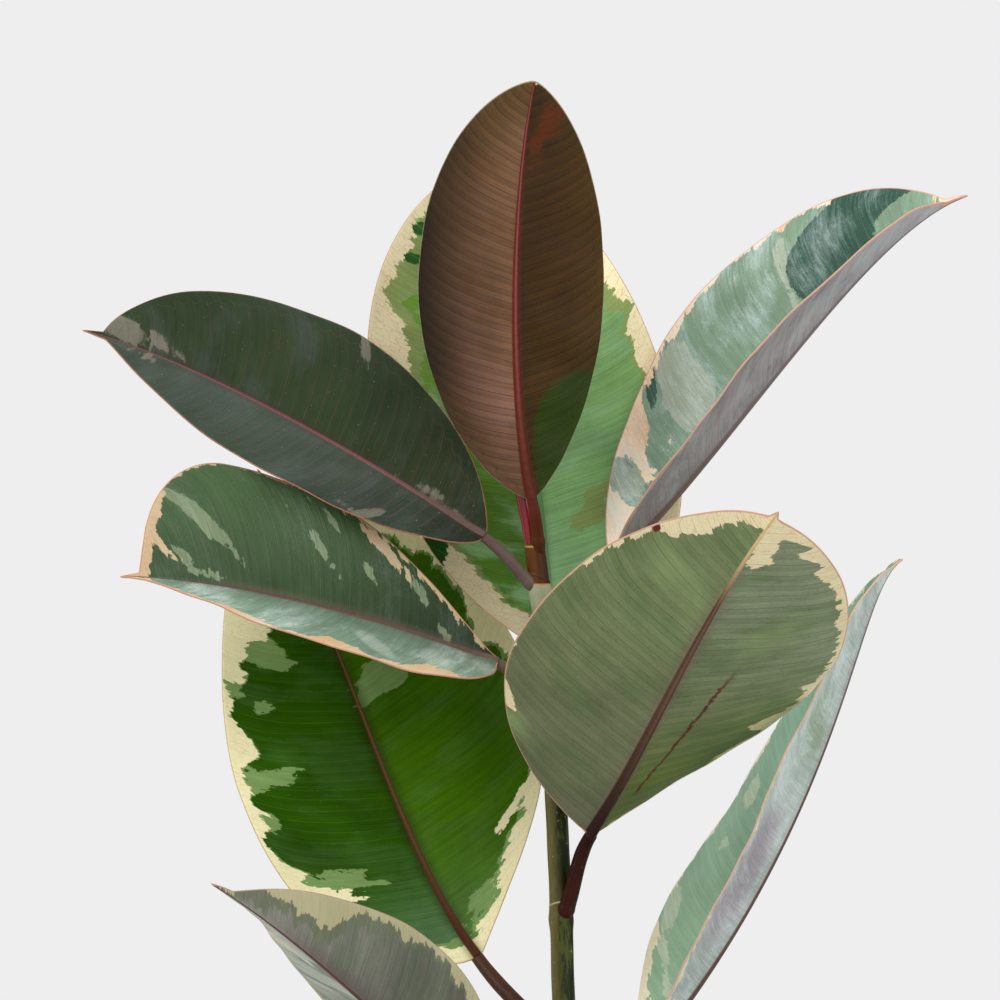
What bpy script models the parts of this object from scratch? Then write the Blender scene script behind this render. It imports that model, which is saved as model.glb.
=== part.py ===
"""Variegated rubber plant with twelve leaves on one stem, in a plain terracotta pot.

Metres, +Z up. The origin is the middle of the pot's underside, and the front is -Y.
"""
import math
from dataclasses import dataclass

import bpy
import numpy as np

# Clearance between two pieces that touch
GAP = 0.0003

# Pot, turned about Z
POT_HEIGHT = 0.190
POT_BASE_RADIUS = 0.074
POT_SHOULDER_RADIUS = 0.0945
POT_RIM_RADIUS = 0.105
POT_RIM_BAND = 0.038
POT_WALL = 0.0085
POT_RIM_WALL = 0.0136
POT_FLOOR = 0.012
POT_EDGE = 0.003
POT_SEGMENTS = 36
POT_BAND_SOFTNESS = 0.001
DRAIN_HOLES = 3
DRAIN_SIDES = 14
DRAIN_RADIUS = 0.006
DRAIN_CIRCLE = 0.036

# Soil, which fills the pot to a little below its rim
SOIL_EDGE_HEIGHT = 0.166
SOIL_DOME = 0.005
SOIL_BUMP = 0.0012
SOIL_HOLE_DEPTH = 0.055
SOIL_RINGS = 7

# Stem: the middle line's four control points, from the soil to the tip of the shoot
STEM_LINE = ((0, 0, 0.165), (-0.006, 0, 0.330), (-0.003, 0, 0.450), (-0.0185, 0, 0.5790))
STEM_BASE_RADIUS = 0.0060
STEM_TIP_RADIUS = 0.0047
STEM_SIDES = 12
STEM_RINGS = 44
NODE_SWELL = 0.0006
NODE_LENGTH = 0.004

# Sheath of the next leaf, rolled to a point at the tip of the shoot
SHEATH_LINE = ((-0.0203, 0.0022, 0.575), (-0.0215, 0.0030, 0.600), (-0.0330, 0.0040, 0.635), (-0.0330, 0.0040, 0.668))
SHEATH_RADII = (0.0021, 0.0034, 0.0003)
SHEATH_SIDES = 8
SHEATH_RINGS = 12

# Blades: the columns are shares of the way from the rib's foot to the margin
BLADE_THICKNESS = 0.0009
BLADE_ROWS = 17
BLADE_END_ROWS = 0.6                # 0 spaces the rows evenly, 1 as on a half circle
BLADE_COLUMNS = (0.0, 0.22, 0.48, 0.76, 1.0)
BASE_HALF_WIDTH = 0.0028
BASE_TAPER = 6
RIB_WIDTH = 0.95                    # half of it, as a share of the petiole's radius
RIB_SLIMMING = 0.85                 # share of that width lost by the tip
RIB_WIDEST_SHARE = 0.35             # of the half's own width
RIB_DEPTH = 0.8                     # at the base, as a share of the petiole's radius
RIB_TIP_DEPTH = 0.0003
RIB_TAPER = 1.3
TAIL_WIDTH = 0.055                  # the drip tip's, as a share of the half's width
TAIL_LENGTH = 0.02                  # how far it reaches back into the oval
TAIL_TAPER = 0.8

# Petioles
PETIOLE_SIDES = 9
PETIOLE_RINGS = 9
PETIOLE_FOOT_SWELL = 0.22
PETIOLE_REACH = 0.38                # how stiffly it leaves the stem and meets the blade


@dataclass(frozen=True)
class Half:
    """One half of a blade, from the midrib out to the margin."""

    width: float                # from midrib to margin along the surface, where it is widest
    widest: float               # share of the blade's length at which it is widest
    base_fullness: float        # over 1 is rounder towards the base, under 1 more pointed
    tip_fullness: float
    fold: tuple                 # degrees the half is turned up at base, middle and tip
    curl: float = -8.0          # degrees more that it turns on its way to the margin
    wave: tuple = (0.0012, 2.6, 0.1)   # the margin's height, number and phase of waves


@dataclass(frozen=True)
class Leaf:
    """A leaf: its petiole's foot on the stem, its midrib, and the two halves of its blade."""

    name: str
    foot: float                 # height on the stem
    rise: float                 # degrees above level at which the petiole leaves the stem
    thickness: float            # the petiole's radius
    midrib: tuple               # four control points, from the blade's base to its tip
    faces: tuple                # where the upper side looks, at the base and at the tip
    drip: float                 # share of the length that is the narrow drip tip
    left: Half
    right: Half
    colour: tuple
    aside: tuple = (0.0, 0.0)   # where the foot stands beside the stem's middle line


LEAVES = (
    Leaf("crown", 0.5745, 84, 0.0027,
         ((-0.020, -0.010, 0.601), (-0.030, -0.022, 0.646), (-0.030, -0.050, 0.735), (-0.019, -0.075, 0.787)),
         ((0, 1, 0.15), (0, 1, 0.35)), 0.0,
         Half(0.0425, 0.50, 1.15, 1.35, (20, 14, 10), 10, (0.0006, 2.2, 0.0)),
         Half(0.047, 0.50, 1.15, 1.35, (20, 14, 10), 10, (0.0006, 2.5, 0.4)),
         (0.080, 0.130, 0.035), aside=(0.0012, -0.0016)),
    Leaf("left_upper", 0.5580, 38, 0.0027,
         ((-0.042, -0.008, 0.583), (-0.087, -0.004, 0.614), (-0.171, 0.020, 0.6635), (-0.229, 0.030, 0.679)),
         ((0.2, -0.85, 0.5), (0.2, -0.85, 0.5)), 0.05,
         Half(0.034, 0.47, 1.4, 0.95, (12, 10, 6)),
         Half(0.0555, 0.53, 1.12, 1.65, (12, 10, 6)),
         (0.022, 0.048, 0.028)),
    Leaf("right_upper", 0.5340, 42, 0.0028,
         ((0.018, 0.020, 0.572), (0.072, 0.030, 0.622), (0.137, 0.040, 0.728), (0.185, 0.050, 0.743)),
         ((-0.694, -0.342, 0.634), (-0.694, -0.342, 0.634)), 0.06,
         Half(0.061, 0.48, 1.20, 1.25, (40, 40, 38)),
         Half(0.060, 0.45, 1.4, 1.1, (42, 37, 29)),
         (0.130, 0.260, 0.160)),
    Leaf("back", 0.5060, 55, 0.0028,
         ((-0.010, 0.030, 0.530), (-0.012, 0.055, 0.591), (-0.029, 0.075, 0.697), (-0.036, 0.100, 0.768)),
         ((0, -0.95, 0.2), (0.05, -0.9, 0.35)), 0.02,
         Half(0.074, 0.56, 1.3, 1.6, (14, 10, 5), -10, (0.0020, 2.4, 0.3)),
         Half(0.068, 0.38, 1.8, 1.25, (14, 10, 5), -10, (0.0020, 2.2, 0.7)),
         (0.090, 0.250, 0.060)),
    Leaf("left_middle", 0.4860, 50, 0.0029,
         ((-0.036, -0.008, 0.525), (-0.081, -0.014, 0.543), (-0.149, -0.016, 0.563), (-0.208, -0.018, 0.565)),
         ((0, -0.74, 0.68), (0, -0.74, 0.68)), 0.05,
         Half(0.055, 0.38, 2.2, 1.0, (36, 36, 34)),
         Half(0.058, 0.78, 0.75, 3.2, (30, 30, 28)),
         (0.075, 0.170, 0.085)),
    Leaf("front_right", 0.4070, 48, 0.0033,
         ((0.007, -0.020, 0.447), (0.031, -0.054, 0.487), (0.0535, -0.110, 0.549), (0.086, -0.150, 0.595)),
         ((0.25, 0.78, 0.6), (0.15, 0.78, 0.6)), 0.02,
         Half(0.070, 0.50, 1.4, 2.2, (60, 25, 5), 6, (0.0010, 2.4, 0.2)),
         Half(0.072, 0.40, 1.6, 1.45, (12, 10, 6), -8, (0.0010, 2.2, 0.6)),
         (0.170, 0.250, 0.120)),
    Leaf("left_lower", 0.3440, 50, 0.0034,
         ((-0.045, 0.020, 0.388), (-0.084, 0.045, 0.441), (-0.0985, 0.070, 0.510), (-0.150, 0.085, 0.615)),
         ((0.1, -0.9, 0.3), (0.1, -0.9, 0.35)), 0.03,
         Half(0.070, 0.45, 1.6, 1.5, (14, 10, 6), -8, (0.0022, 3.0, 0.0)),
         Half(0.081, 0.55, 1.05, 1.6, (14, 10, 6), -8, (0.0022, 2.6, 0.5)),
         (0.060, 0.170, 0.020)),
    Leaf("front_left", 0.3150, 30, 0.0033,
         ((-0.044, -0.040, 0.324), (-0.079, -0.080, 0.362), (-0.122, -0.130, 0.410), (-0.159, -0.160, 0.435)),
         ((0.22, 0.94, 0.26), (0.22, 0.94, 0.26)), 0.05,
         Half(0.042, 0.30, 1.5, 0.9, (50, 50, 48)),
         Half(0.052, 0.25, 1.4, 0.50, (50, 50, 48)),
         (0.190, 0.230, 0.170)),
    Leaf("right_lower", 0.2980, 40, 0.0034,
         ((0.032, 0.010, 0.3445), (0.128, 0.010, 0.463), (0.1275, 0.000, 0.560), (0.150, -0.010, 0.573)),
         ((-0.86, -0.17, 0.37), (-0.87, -0.18, 0.40)), 0.06,
         Half(0.057, 0.23, 1.15, 0.73, (39, 15, 24)),
         Half(0.057, 0.42, 1.1, 1.55, (38, 31, 23)),
         (0.150, 0.280, 0.170)),
    Leaf("low_back", 0.2700, 35, 0.0033,
         ((0.032, 0.038, 0.296), (0.074, 0.088, 0.325), (0.122, 0.146, 0.315), (0.157, 0.188, 0.262)),
         ((0.1, 0.1, 1), (0.35, 0.4, 0.8)), 0.04,
         Half(0.058, 0.48, 1.5, 1.4, (14, 12, 6), -10, (0.0020, 2.6, 0.2)),
         Half(0.060, 0.46, 1.5, 1.4, (14, 12, 6), -10, (0.0020, 2.3, 0.6)),
         (0.070, 0.190, 0.040)),
    Leaf("low_front", 0.2460, 32, 0.0032,
         ((0.011, -0.049, 0.268), (0.025, -0.107, 0.292), (0.041, -0.175, 0.285), (0.053, -0.229, 0.235)),
         ((0, -0.1, 1), (0.1, -0.5, 0.8)), 0.04,
         Half(0.056, 0.47, 1.6, 1.4, (16, 12, 6), -10, (0.0020, 2.4, 0.0)),
         Half(0.054, 0.50, 1.5, 1.5, (16, 12, 6), -10, (0.0020, 2.8, 0.4)),
         (0.065, 0.180, 0.035)),
    Leaf("low_left", 0.2220, 30, 0.0030,
         ((-0.048, 0.007, 0.244), (-0.109, 0.015, 0.272), (-0.173, 0.024, 0.268), (-0.230, 0.032, 0.222)),
         ((-0.1, 0, 1), (-0.5, 0.1, 0.8)), 0.04,
         Half(0.052, 0.50, 1.4, 1.4, (14, 12, 6), -10, (0.0018, 2.5, 0.5)),
         Half(0.052, 0.46, 1.5, 1.3, (14, 12, 6), -10, (0.0018, 2.7, 0.1)),
         (0.055, 0.160, 0.030)),
)


def unit(vectors):
    """Vectors of length 1 in the same directions."""
    return vectors / np.linalg.norm(vectors, axis=-1, keepdims=True)


def bezier(points, s):
    """Points of a cubic curve at the shares s of its run."""
    p0, p1, p2, p3 = np.asarray(points, float)
    s = np.asarray(s, float)[..., None]
    return (1 - s) ** 3 * p0 + 3 * (1 - s) ** 2 * s * p1 + 3 * (1 - s) * s ** 2 * p2 + s ** 3 * p3


def bezier_direction(points, s):
    """Unit tangents of a cubic curve at the shares s of its run."""
    p0, p1, p2, p3 = np.asarray(points, float)
    s = np.asarray(s, float)[..., None]
    return unit((1 - s) ** 2 * (p1 - p0) + 2 * (1 - s) * s * (p2 - p1) + s ** 2 * (p3 - p2))


def through_three(values, s):
    """A quadratic through the values at base, middle and tip."""
    base, middle, tip = values
    return base * (1 - s) * (1 - 2 * s) + 4 * middle * s * (1 - s) + tip * s * (2 * s - 1)


def half_width(half, drip, s):
    """Distance from midrib to margin: an oval that ends in a narrow drip tip."""
    shoulder = 1 - drip
    from_widest = np.where(s < half.widest, 1 - s / half.widest, (s - half.widest) / (shoulder - half.widest))
    fullness = np.where(s < half.widest, half.base_fullness, half.tip_fullness)
    oval = (1 - np.clip(from_widest, 0, 1) ** 2) ** (1 / fullness)
    tail = TAIL_WIDTH * np.clip((1 - s) / (drip + TAIL_LENGTH), 0, 1) ** TAIL_TAPER * (s > half.widest)
    return half.width * np.maximum(oval, tail) + BASE_HALF_WIDTH * (1 - s) ** BASE_TAPER


def rib_depth(leaf, s):
    """How far the midrib stands out of the underside."""
    return RIB_TIP_DEPTH + RIB_DEPTH * leaf.thickness * (1 - s) ** RIB_TAPER


def leaf_surface(leaf, s, r):
    """Points of a blade's middle surface.

    s is the share of the midrib's run, and r the distance from it along the surface,
    positive on the half that is on the left when the upper side faces the viewer, tip up.
    """
    midrib = bezier(leaf.midrib, s)
    along = bezier_direction(leaf.midrib, s)
    face_base, face_tip = np.asarray(leaf.faces, float)
    face = face_base + (face_tip - face_base) * s[..., None]
    normal = unit(face - (face * along).sum(-1, keepdims=True) * along)
    side = np.cross(normal, along)
    points = np.zeros(s.shape + (3,))
    for sign, half in ((1, leaf.left), (-1, leaf.right)):
        out = np.abs(r) / half.width
        fold = np.radians(through_three(half.fold, s))
        curl = math.radians(half.curl)
        across = half.width * (np.sin(fold + curl * out) - np.sin(fold)) / curl
        up = half.width * (np.cos(fold) - np.cos(fold + curl * out)) / curl
        height, waves, phase = half.wave
        up = up + height * out ** 2 * np.sin(2 * math.pi * (waves * s + phase))
        half_points = midrib + side * (sign * across)[..., None] + normal * up[..., None]
        points = np.where((sign * r >= 0)[..., None], half_points, points)
    return points


def grid_normals(points):
    """Unit normals of a grid of points, towards its upper side."""
    along = np.gradient(points, axis=0)
    across = np.gradient(points, axis=1)
    return unit(np.cross(along, across))


def blade_grid(leaf):
    """A blade's middle surface on rows from base to tip and columns from right to left margin.

    The middle column is the midrib, and the two beside it are the feet of its rib.
    """
    share = np.arange(BLADE_ROWS) / BLADE_ROWS
    s = share + BLADE_END_ROWS * ((1 - np.cos(math.pi * share)) / 2 - share)
    columns = [np.zeros_like(s)]
    for half, sign in ((leaf.left, 1), (leaf.right, -1)):
        width = half_width(half, leaf.drip, s)
        rib = np.minimum(leaf.thickness * RIB_WIDTH * (1 - RIB_SLIMMING * s), RIB_WIDEST_SHARE * width)
        outward = [sign * (rib + (width - rib) * share) for share in BLADE_COLUMNS]
        columns = columns + outward if sign > 0 else outward[::-1] + columns
    r = np.stack(columns, axis=1)
    rows = np.broadcast_to(s[:, None], r.shape)
    return rows, leaf_surface(leaf, rows, r)


def blade_mesh(leaf):
    """Vertices and triangles of a blade with both faces, its margin and the rib underneath."""
    s, middle = blade_grid(leaf)
    normals = grid_normals(middle)
    square = bezier_direction(leaf.midrib, np.array(0.0))
    normals[0] = unit(normals[0] - normals[0].dot(square)[:, None] * square)
    rows, columns = s.shape
    rib = np.zeros_like(s)
    rib[:, columns // 2] = rib_depth(leaf, s[:, 0])
    upper = middle + normals * (BLADE_THICKNESS / 2)
    lower = middle - normals * (BLADE_THICKNESS / 2 + rib)[..., None]
    tip = bezier(leaf.midrib, np.array([1.0]))
    tip_offset = normals[-1, columns // 2] * BLADE_THICKNESS / 2
    points = np.concatenate([upper.reshape(-1, 3), lower.reshape(-1, 3), tip + tip_offset, tip - tip_offset])

    top = np.arange(rows * columns).reshape(rows, columns)
    under = top + rows * columns
    tip_top, tip_under = 2 * rows * columns, 2 * rows * columns + 1
    faces = []
    for i in range(rows - 1):
        for j in range(columns - 1):
            faces.append((top[i, j], top[i + 1, j], top[i + 1, j + 1]))
            faces.append((top[i, j], top[i + 1, j + 1], top[i, j + 1]))
            faces.append((under[i, j], under[i + 1, j + 1], under[i + 1, j]))
            faces.append((under[i, j], under[i, j + 1], under[i + 1, j + 1]))
        faces.append((top[i, -1], top[i + 1, -1], under[i + 1, -1], under[i, -1]))
        faces.append((top[i, 0], under[i, 0], under[i + 1, 0], top[i + 1, 0]))
    for j in range(columns - 1):
        faces.append((top[0, j], top[0, j + 1], under[0, j + 1], under[0, j]))
        faces.append((top[-1, j], tip_top, top[-1, j + 1]))
        faces.append((under[-1, j], under[-1, j + 1], tip_under))
    faces.append((top[-1, -1], tip_top, tip_under, under[-1, -1]))
    faces.append((top[-1, 0], under[-1, 0], tip_under, tip_top))
    return points, [tuple(int(k) for k in face) for face in faces]


def tube_mesh(centres, along, radii, sides):
    """Vertices and faces of a closed round tube along a line of centres, its rings square to it."""
    across = np.zeros_like(centres)
    last = np.array([0.0, 1.0, 0.0])
    for i, direction in enumerate(along):
        last = unit(last - last.dot(direction) * direction)
        across[i] = last
    other = np.cross(along, across)
    angles = 2 * math.pi * np.arange(sides) / sides
    rings = (centres[:, None] + radii[:, None, None]
             * (np.cos(angles)[None, :, None] * across[:, None] + np.sin(angles)[None, :, None] * other[:, None]))
    return rings.reshape(-1, 3), ring_faces(len(centres), sides)


def ring_faces(rings, sides):
    """Faces of a closed skin over stacked rings, with flat ends."""
    faces = [tuple(reversed(range(sides)))]
    for i in range(rings - 1):
        for j in range(sides):
            k = (j + 1) % sides
            faces.append((i * sides + j, i * sides + k, (i + 1) * sides + k, (i + 1) * sides + j))
    faces.append(tuple(range((rings - 1) * sides, rings * sides)))
    return faces


def turned_mesh(profile, sides):
    """Vertices and faces of a body turned about Z; its profile starts and ends at a flat end."""
    angles = 2 * math.pi * np.arange(sides) / sides
    rings = [np.stack([r * np.cos(angles), r * np.sin(angles), np.full(sides, z)], axis=1) for r, z in profile]
    return np.concatenate(rings), ring_faces(len(profile), sides)


def curved_tube(points, share, radii, sides):
    """A tube along a cubic curve."""
    return tube_mesh(bezier(points, share), bezier_direction(points, share), radii, sides)


def upright_tube(heights, radii, sides):
    """A tube along the stem's middle line, with level rings."""
    upright = np.tile((0.0, 0.0, 1.0), (len(heights), 1))
    return tube_mesh(stem_line(heights), upright, radii, sides)


def stem_line(z):
    """Middle of the stem at the heights z, straight down below the soil's surface."""
    share = np.linspace(0, 1, 200)
    line = bezier(STEM_LINE, share)
    return np.stack([np.interp(z, line[:, 2], line[:, 0]), np.zeros_like(z), z], axis=-1)


def stem_radius(z):
    """The stem's radius at the heights z: a slow taper, swollen at each node."""
    soil, tip = STEM_LINE[0][2], STEM_LINE[-1][2]
    radius = STEM_BASE_RADIUS + (STEM_TIP_RADIUS - STEM_BASE_RADIUS) * np.clip((z - soil) / (tip - soil), 0, 1)
    for leaf in LEAVES[1:]:
        radius = radius + NODE_SWELL * np.exp(-((z - leaf.foot) / NODE_LENGTH) ** 2)
    return radius


def petiole_points(leaf):
    """The four control points of a petiole, from the stem's middle to the blade's base."""
    foot = stem_line(np.array(leaf.foot)) + (*leaf.aside, 0)
    along = bezier_direction(leaf.midrib, np.array(0.0))
    end = np.array(leaf.midrib[0]) - GAP * along
    reach = PETIOLE_REACH * np.linalg.norm(end - foot)
    outward = unit((end - foot) * (1, 1, 0))
    rise = math.radians(leaf.rise)
    leave = outward * math.cos(rise) + np.array([0, 0, 1]) * math.sin(rise)
    return foot, foot + leave * reach, end - along * reach, end


def principled(name, colour, roughness):
    """A material of one colour and roughness."""
    material = bpy.data.materials.new(name)
    material.use_nodes = True
    shader = material.node_tree.nodes["Principled BSDF"]
    shader.inputs["Base Color"].default_value = (*colour, 1)
    shader.inputs["Roughness"].default_value = roughness
    shader.inputs["Metallic"].default_value = 0
    return material


def add_object(name, points, faces, material):
    """A smooth-shaded object with its creases kept, in the part's own frame."""
    mesh = bpy.data.meshes.new(name)
    mesh.from_pydata([tuple(float(c) for c in p) for p in points], [], faces)
    mesh.shade_smooth()
    mesh.set_sharp_from_angle(angle=math.radians(50))
    piece = bpy.data.objects.new(name, mesh)
    if material:
        mesh.materials.append(material)
    bpy.context.scene.collection.objects.link(piece)
    return piece


def add_cutter(name, points, faces):
    """A guide that only cuts other pieces."""
    cutter = add_object(name, points, faces, None)
    cutter.hide_render = True
    cutter.display_type = "WIRE"
    return cutter


def cut(piece, cutter):
    """Cuts a piece with a guide."""
    modifier = piece.modifiers.new("cut", "BOOLEAN")
    modifier.operation = "DIFFERENCE"
    modifier.solver = "EXACT"
    modifier.object = cutter


def add_stem():
    """The stem from the foot of its hole in the soil to the tip, and the guide that seats petioles on it."""
    foot, tip = SOIL_EDGE_HEIGHT + SOIL_DOME - SOIL_HOLE_DEPTH + GAP, STEM_LINE[-1][2]
    heights = np.linspace(foot, tip, STEM_RINGS)
    bark = principled("stem_bark", (0.135, 0.150, 0.045), 0.55)
    add_object("stem", *upright_tube(heights, stem_radius(heights), STEM_SIDES), bark)
    heights[-1] += GAP
    return add_cutter("stem_seat", *upright_tube(heights, stem_radius(heights) + GAP, STEM_SIDES))


def add_leaf(leaf, stem_seat):
    """A leaf's petiole, seated on the stem, and its blade."""
    share = np.linspace(0, 1, PETIOLE_RINGS)
    radii = leaf.thickness * (1 + PETIOLE_FOOT_SWELL * (1 - share) ** 2)
    stalk = principled("petiole_" + leaf.name, (0.130, 0.045, 0.050), 0.5)
    petiole = add_object("petiole_" + leaf.name,
                         *curved_tube(petiole_points(leaf), share, radii, PETIOLE_SIDES), stalk)
    cut(petiole, stem_seat)
    add_object("leaf_" + leaf.name, *blade_mesh(leaf), principled("leaf_" + leaf.name, leaf.colour, 0.38))


def add_bud_sheath(stem_seat):
    """The rolled sheath at the tip of the shoot."""
    share = np.linspace(0, 1, SHEATH_RINGS)
    radii = np.maximum(through_three(SHEATH_RADII, share), SHEATH_RADII[-1])
    sheath = add_object("bud_sheath", *curved_tube(SHEATH_LINE, share, radii, SHEATH_SIDES),
                        principled("bud_sheath", (0.300, 0.020, 0.030), 0.28))
    cut(sheath, stem_seat)


def inner_radius(z):
    """Radius of the pot's inside at the height z."""
    low, high = POT_BASE_RADIUS - POT_WALL, POT_RIM_RADIUS - POT_RIM_WALL
    return low + (high - low) * (z - POT_FLOOR) / (POT_HEIGHT - POT_FLOOR)


def add_pot():
    """The pot with its rim band, and drain holes round the middle of its floor."""
    band_foot = POT_HEIGHT - POT_RIM_BAND
    profile = (
        (POT_BASE_RADIUS - POT_EDGE, 0),
        (POT_BASE_RADIUS, POT_EDGE),
        (POT_SHOULDER_RADIUS, band_foot),
        (POT_RIM_RADIUS - 2 * POT_EDGE, band_foot + POT_BAND_SOFTNESS),
        (POT_RIM_RADIUS - POT_EDGE, band_foot + POT_EDGE + POT_BAND_SOFTNESS),
        (POT_RIM_RADIUS, POT_HEIGHT - POT_EDGE),
        (POT_RIM_RADIUS - POT_EDGE, POT_HEIGHT),
        (inner_radius(POT_HEIGHT) + POT_EDGE, POT_HEIGHT),
        (inner_radius(POT_HEIGHT - POT_EDGE), POT_HEIGHT - POT_EDGE),
        (inner_radius(POT_FLOOR), POT_FLOOR),
    )
    pot = add_object("pot", *turned_mesh(profile, POT_SEGMENTS), principled("terracotta", (0.52, 0.21, 0.11), 0.85))
    for i in range(DRAIN_HOLES):
        angle = 2 * math.pi * (i + 0.25) / DRAIN_HOLES
        hole, faces = turned_mesh(((DRAIN_RADIUS, -POT_FLOOR), (DRAIN_RADIUS, 2 * POT_FLOOR)), DRAIN_SIDES)
        hole = hole + DRAIN_CIRCLE * np.array([math.cos(angle), math.sin(angle), 0])
        cut(pot, add_cutter(f"drain_{i}", hole, faces))


def add_soil():
    """The soil, domed and a little uneven, with a plain hole for the stem."""
    hole_radius = STEM_BASE_RADIUS + GAP
    edge_radius = inner_radius(SOIL_EDGE_HEIGHT) - GAP
    hole_foot = SOIL_EDGE_HEIGHT + SOIL_DOME - SOIL_HOLE_DEPTH
    slopes = [(hole_radius + (edge_radius - hole_radius) * u, SOIL_EDGE_HEIGHT + SOIL_DOME * (1 - u * u))
              for u in np.linspace(0, 1, SOIL_RINGS)]
    profile = [(inner_radius(POT_FLOOR) - GAP, POT_FLOOR + GAP)] + slopes[::-1] + [(hole_radius, hole_foot)]
    points, faces = turned_mesh(profile, POT_SEGMENTS)
    radius = np.hypot(points[:, 0], points[:, 1])
    turn = np.arctan2(points[:, 1], points[:, 0])
    share = (radius - hole_radius) / (edge_radius - hole_radius)
    on_top = (points[:, 2] >= SOIL_EDGE_HEIGHT) & (share > 0.01) & (share < 0.99)
    points[:, 2] += on_top * SOIL_BUMP * np.sin(5 * turn + 9 * share) * np.sin(math.pi * share)
    add_object("soil", points, faces, principled("soil", (0.040, 0.026, 0.016), 0.95))


def main():
    for old in list(bpy.data.objects):
        bpy.data.objects.remove(old, do_unlink=True)
    add_pot()
    add_soil()
    stem_seat = add_stem()
    add_bud_sheath(stem_seat)
    for leaf in LEAVES:
        add_leaf(leaf, stem_seat)


main()
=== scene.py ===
"""Looks of the potted variegated rubber plant: marked and veined blades, bark, clay and soil over the CAD.

Metres, +Z up, front towards -Y, as in the part's source. Flat coordinates on a blade: a runs along the midrib
from base to tip, and r away from it, positive on the left half. v = a - MARK_LEAN * |r| lies along the marks,
and w along the side veins, whose lean grows towards tip and margin. Marks and finishes count millimetres.
"""
import logging
import math
from dataclasses import dataclass
from enum import Enum
from typing import Optional, Union

import bpy
import numpy as np
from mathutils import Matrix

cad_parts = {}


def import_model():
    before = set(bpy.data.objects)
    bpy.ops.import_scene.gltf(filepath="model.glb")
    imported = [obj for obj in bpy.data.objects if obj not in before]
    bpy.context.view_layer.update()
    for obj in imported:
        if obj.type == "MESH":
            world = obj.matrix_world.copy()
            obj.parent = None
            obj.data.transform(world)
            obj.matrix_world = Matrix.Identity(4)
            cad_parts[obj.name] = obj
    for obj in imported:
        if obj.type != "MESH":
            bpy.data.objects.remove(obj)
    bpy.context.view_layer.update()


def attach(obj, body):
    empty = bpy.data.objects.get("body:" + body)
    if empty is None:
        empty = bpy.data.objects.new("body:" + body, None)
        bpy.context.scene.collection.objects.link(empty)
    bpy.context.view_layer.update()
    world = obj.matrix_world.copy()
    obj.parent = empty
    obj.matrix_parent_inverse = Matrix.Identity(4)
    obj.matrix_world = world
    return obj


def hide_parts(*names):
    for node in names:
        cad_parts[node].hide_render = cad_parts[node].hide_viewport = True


LOG = logging.getLogger("rubber_plant")

Colour = tuple[int, int, int]
Point = tuple[float, float, float]
Span = tuple[float, float]
Profile = tuple[Span, ...]

# Camera and light
CAMERA_PLACE = (-0.0345, -2.5, 0.600)
FRAME_WIDTH = 0.46                  # metres across the frame at the stem
SENSOR = 36.0
BACKGROUND = 238                    # sRGB grey of the studio's wall
LIT = 0.80                          # light that a white surface facing the camera sends back
GLOSS = 0.010                       # light that its gloss adds
DARKEST = 0.15                      # share of a dark colour that is kept where the gloss is stronger

# Blades
MARK_LEAN = 0.32
VEIN_LEAN = (0.15, 0.35)            # the side veins' lean towards the tip: at the base, and what the tip adds
VEIN_BEND = 0.16                    # and what the margin adds
HAIR_VEINS = 4.3                    # fine veins to each side vein
DEPTH_LIMIT = 30.0                  # millimetres up to which the depth inside a mark is told
BLADE_THICKNESS = 0.0009
BLADE_ROWS = 170
BLADE_END_ROWS = 0.6                # how much closer the rows stand at both ends
HALF_COLUMNS = 34
MARGIN_COLUMNS = 0.72               # how much closer the columns stand at the margin
ARC_STEPS = 1500
OUTLINE_STEPS = 260
BASE_HALF_WIDTH = 0.0028
BASE_TAPER = 6
RIB_COLUMNS = 8
RIB_WIDTH = 0.95
RIB_SLIMMING = 0.85
RIB_LIMITS = (0.80, 0.97)           # largest share of a half's width: for the rib's columns, and for the rib
RIB_BLEND = 2.0                     # half widths of the rib in which the blade's own normals take over
RIB_DEPTH = 0.8
RIB_TIP_DEPTH = 0.0003
RIB_TAPER = 1.3
RIB_ROUNDNESS = 0.7
RIDGE_LENGTH = 0.007                # over which the petiole sinks into the upper side
MARGIN_ROUNDING = 0.0007
TAIL_WIDTH = 0.055
TAIL_LENGTH = 0.02
TAIL_TAPER = 0.8
RIPPLE = 0.00022
RIPPLE_WAVES = ((190, 85), (118, -160))     # radians per metre along the midrib and away from it
RIPPLE_START = (6.0, 0.008)         # where it is full: half widths of the rib, and metres from the base
SEED_SPREAD = 9.7
SCRATCH_LINE = (9.8, 0.145)         # r of the scratch where w is 0, and its slope
SCRATCH_SPAN = (20.0, 26.0, 90.0, 116.0)    # w where it sets in, is full, fades and ends
SCRATCH_COLOUR = (84, 30, 28)
SPECK_COLOUR = (150, 168, 140)

# Petioles and stem
PETIOLE_FOOT_SWELL = 0.22
PETIOLE_REACH = 0.38
GAP = 0.0003
STEM_LINE = ((0, 0, 0.165), (-0.006, 0, 0.330), (-0.003, 0, 0.450), (-0.0185, 0, 0.5790))
SOIL_EDGE_HEIGHT = 0.166
SOIL_DOME = 0.005
SOIL_HOLE_DEPTH = 0.055


def linear(level: float) -> float:
    """Linear light of an sRGB level from 0 to 255."""
    return ((level / 255 + 0.055) / 1.055) ** 2.4 if level > 10 else level / 255 / 12.92


def paint(colour: Colour) -> tuple[float, float, float, float]:
    """Turns a colour seen in the studio into a base colour.

    Args:
        colour: sRGB, 0 to 255, as the finished surface should look.

    Returns:
        Linear colour with alpha, freed of the gloss and of the strength of the light.
    """
    return (*[max(linear(c) - GLOSS, DARKEST * linear(c)) / LIT for c in colour], 1.0)


def unit(vectors: np.ndarray) -> np.ndarray:
    """Vectors of length 1 in the same directions."""
    return vectors / np.linalg.norm(vectors, axis=-1, keepdims=True)


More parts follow.
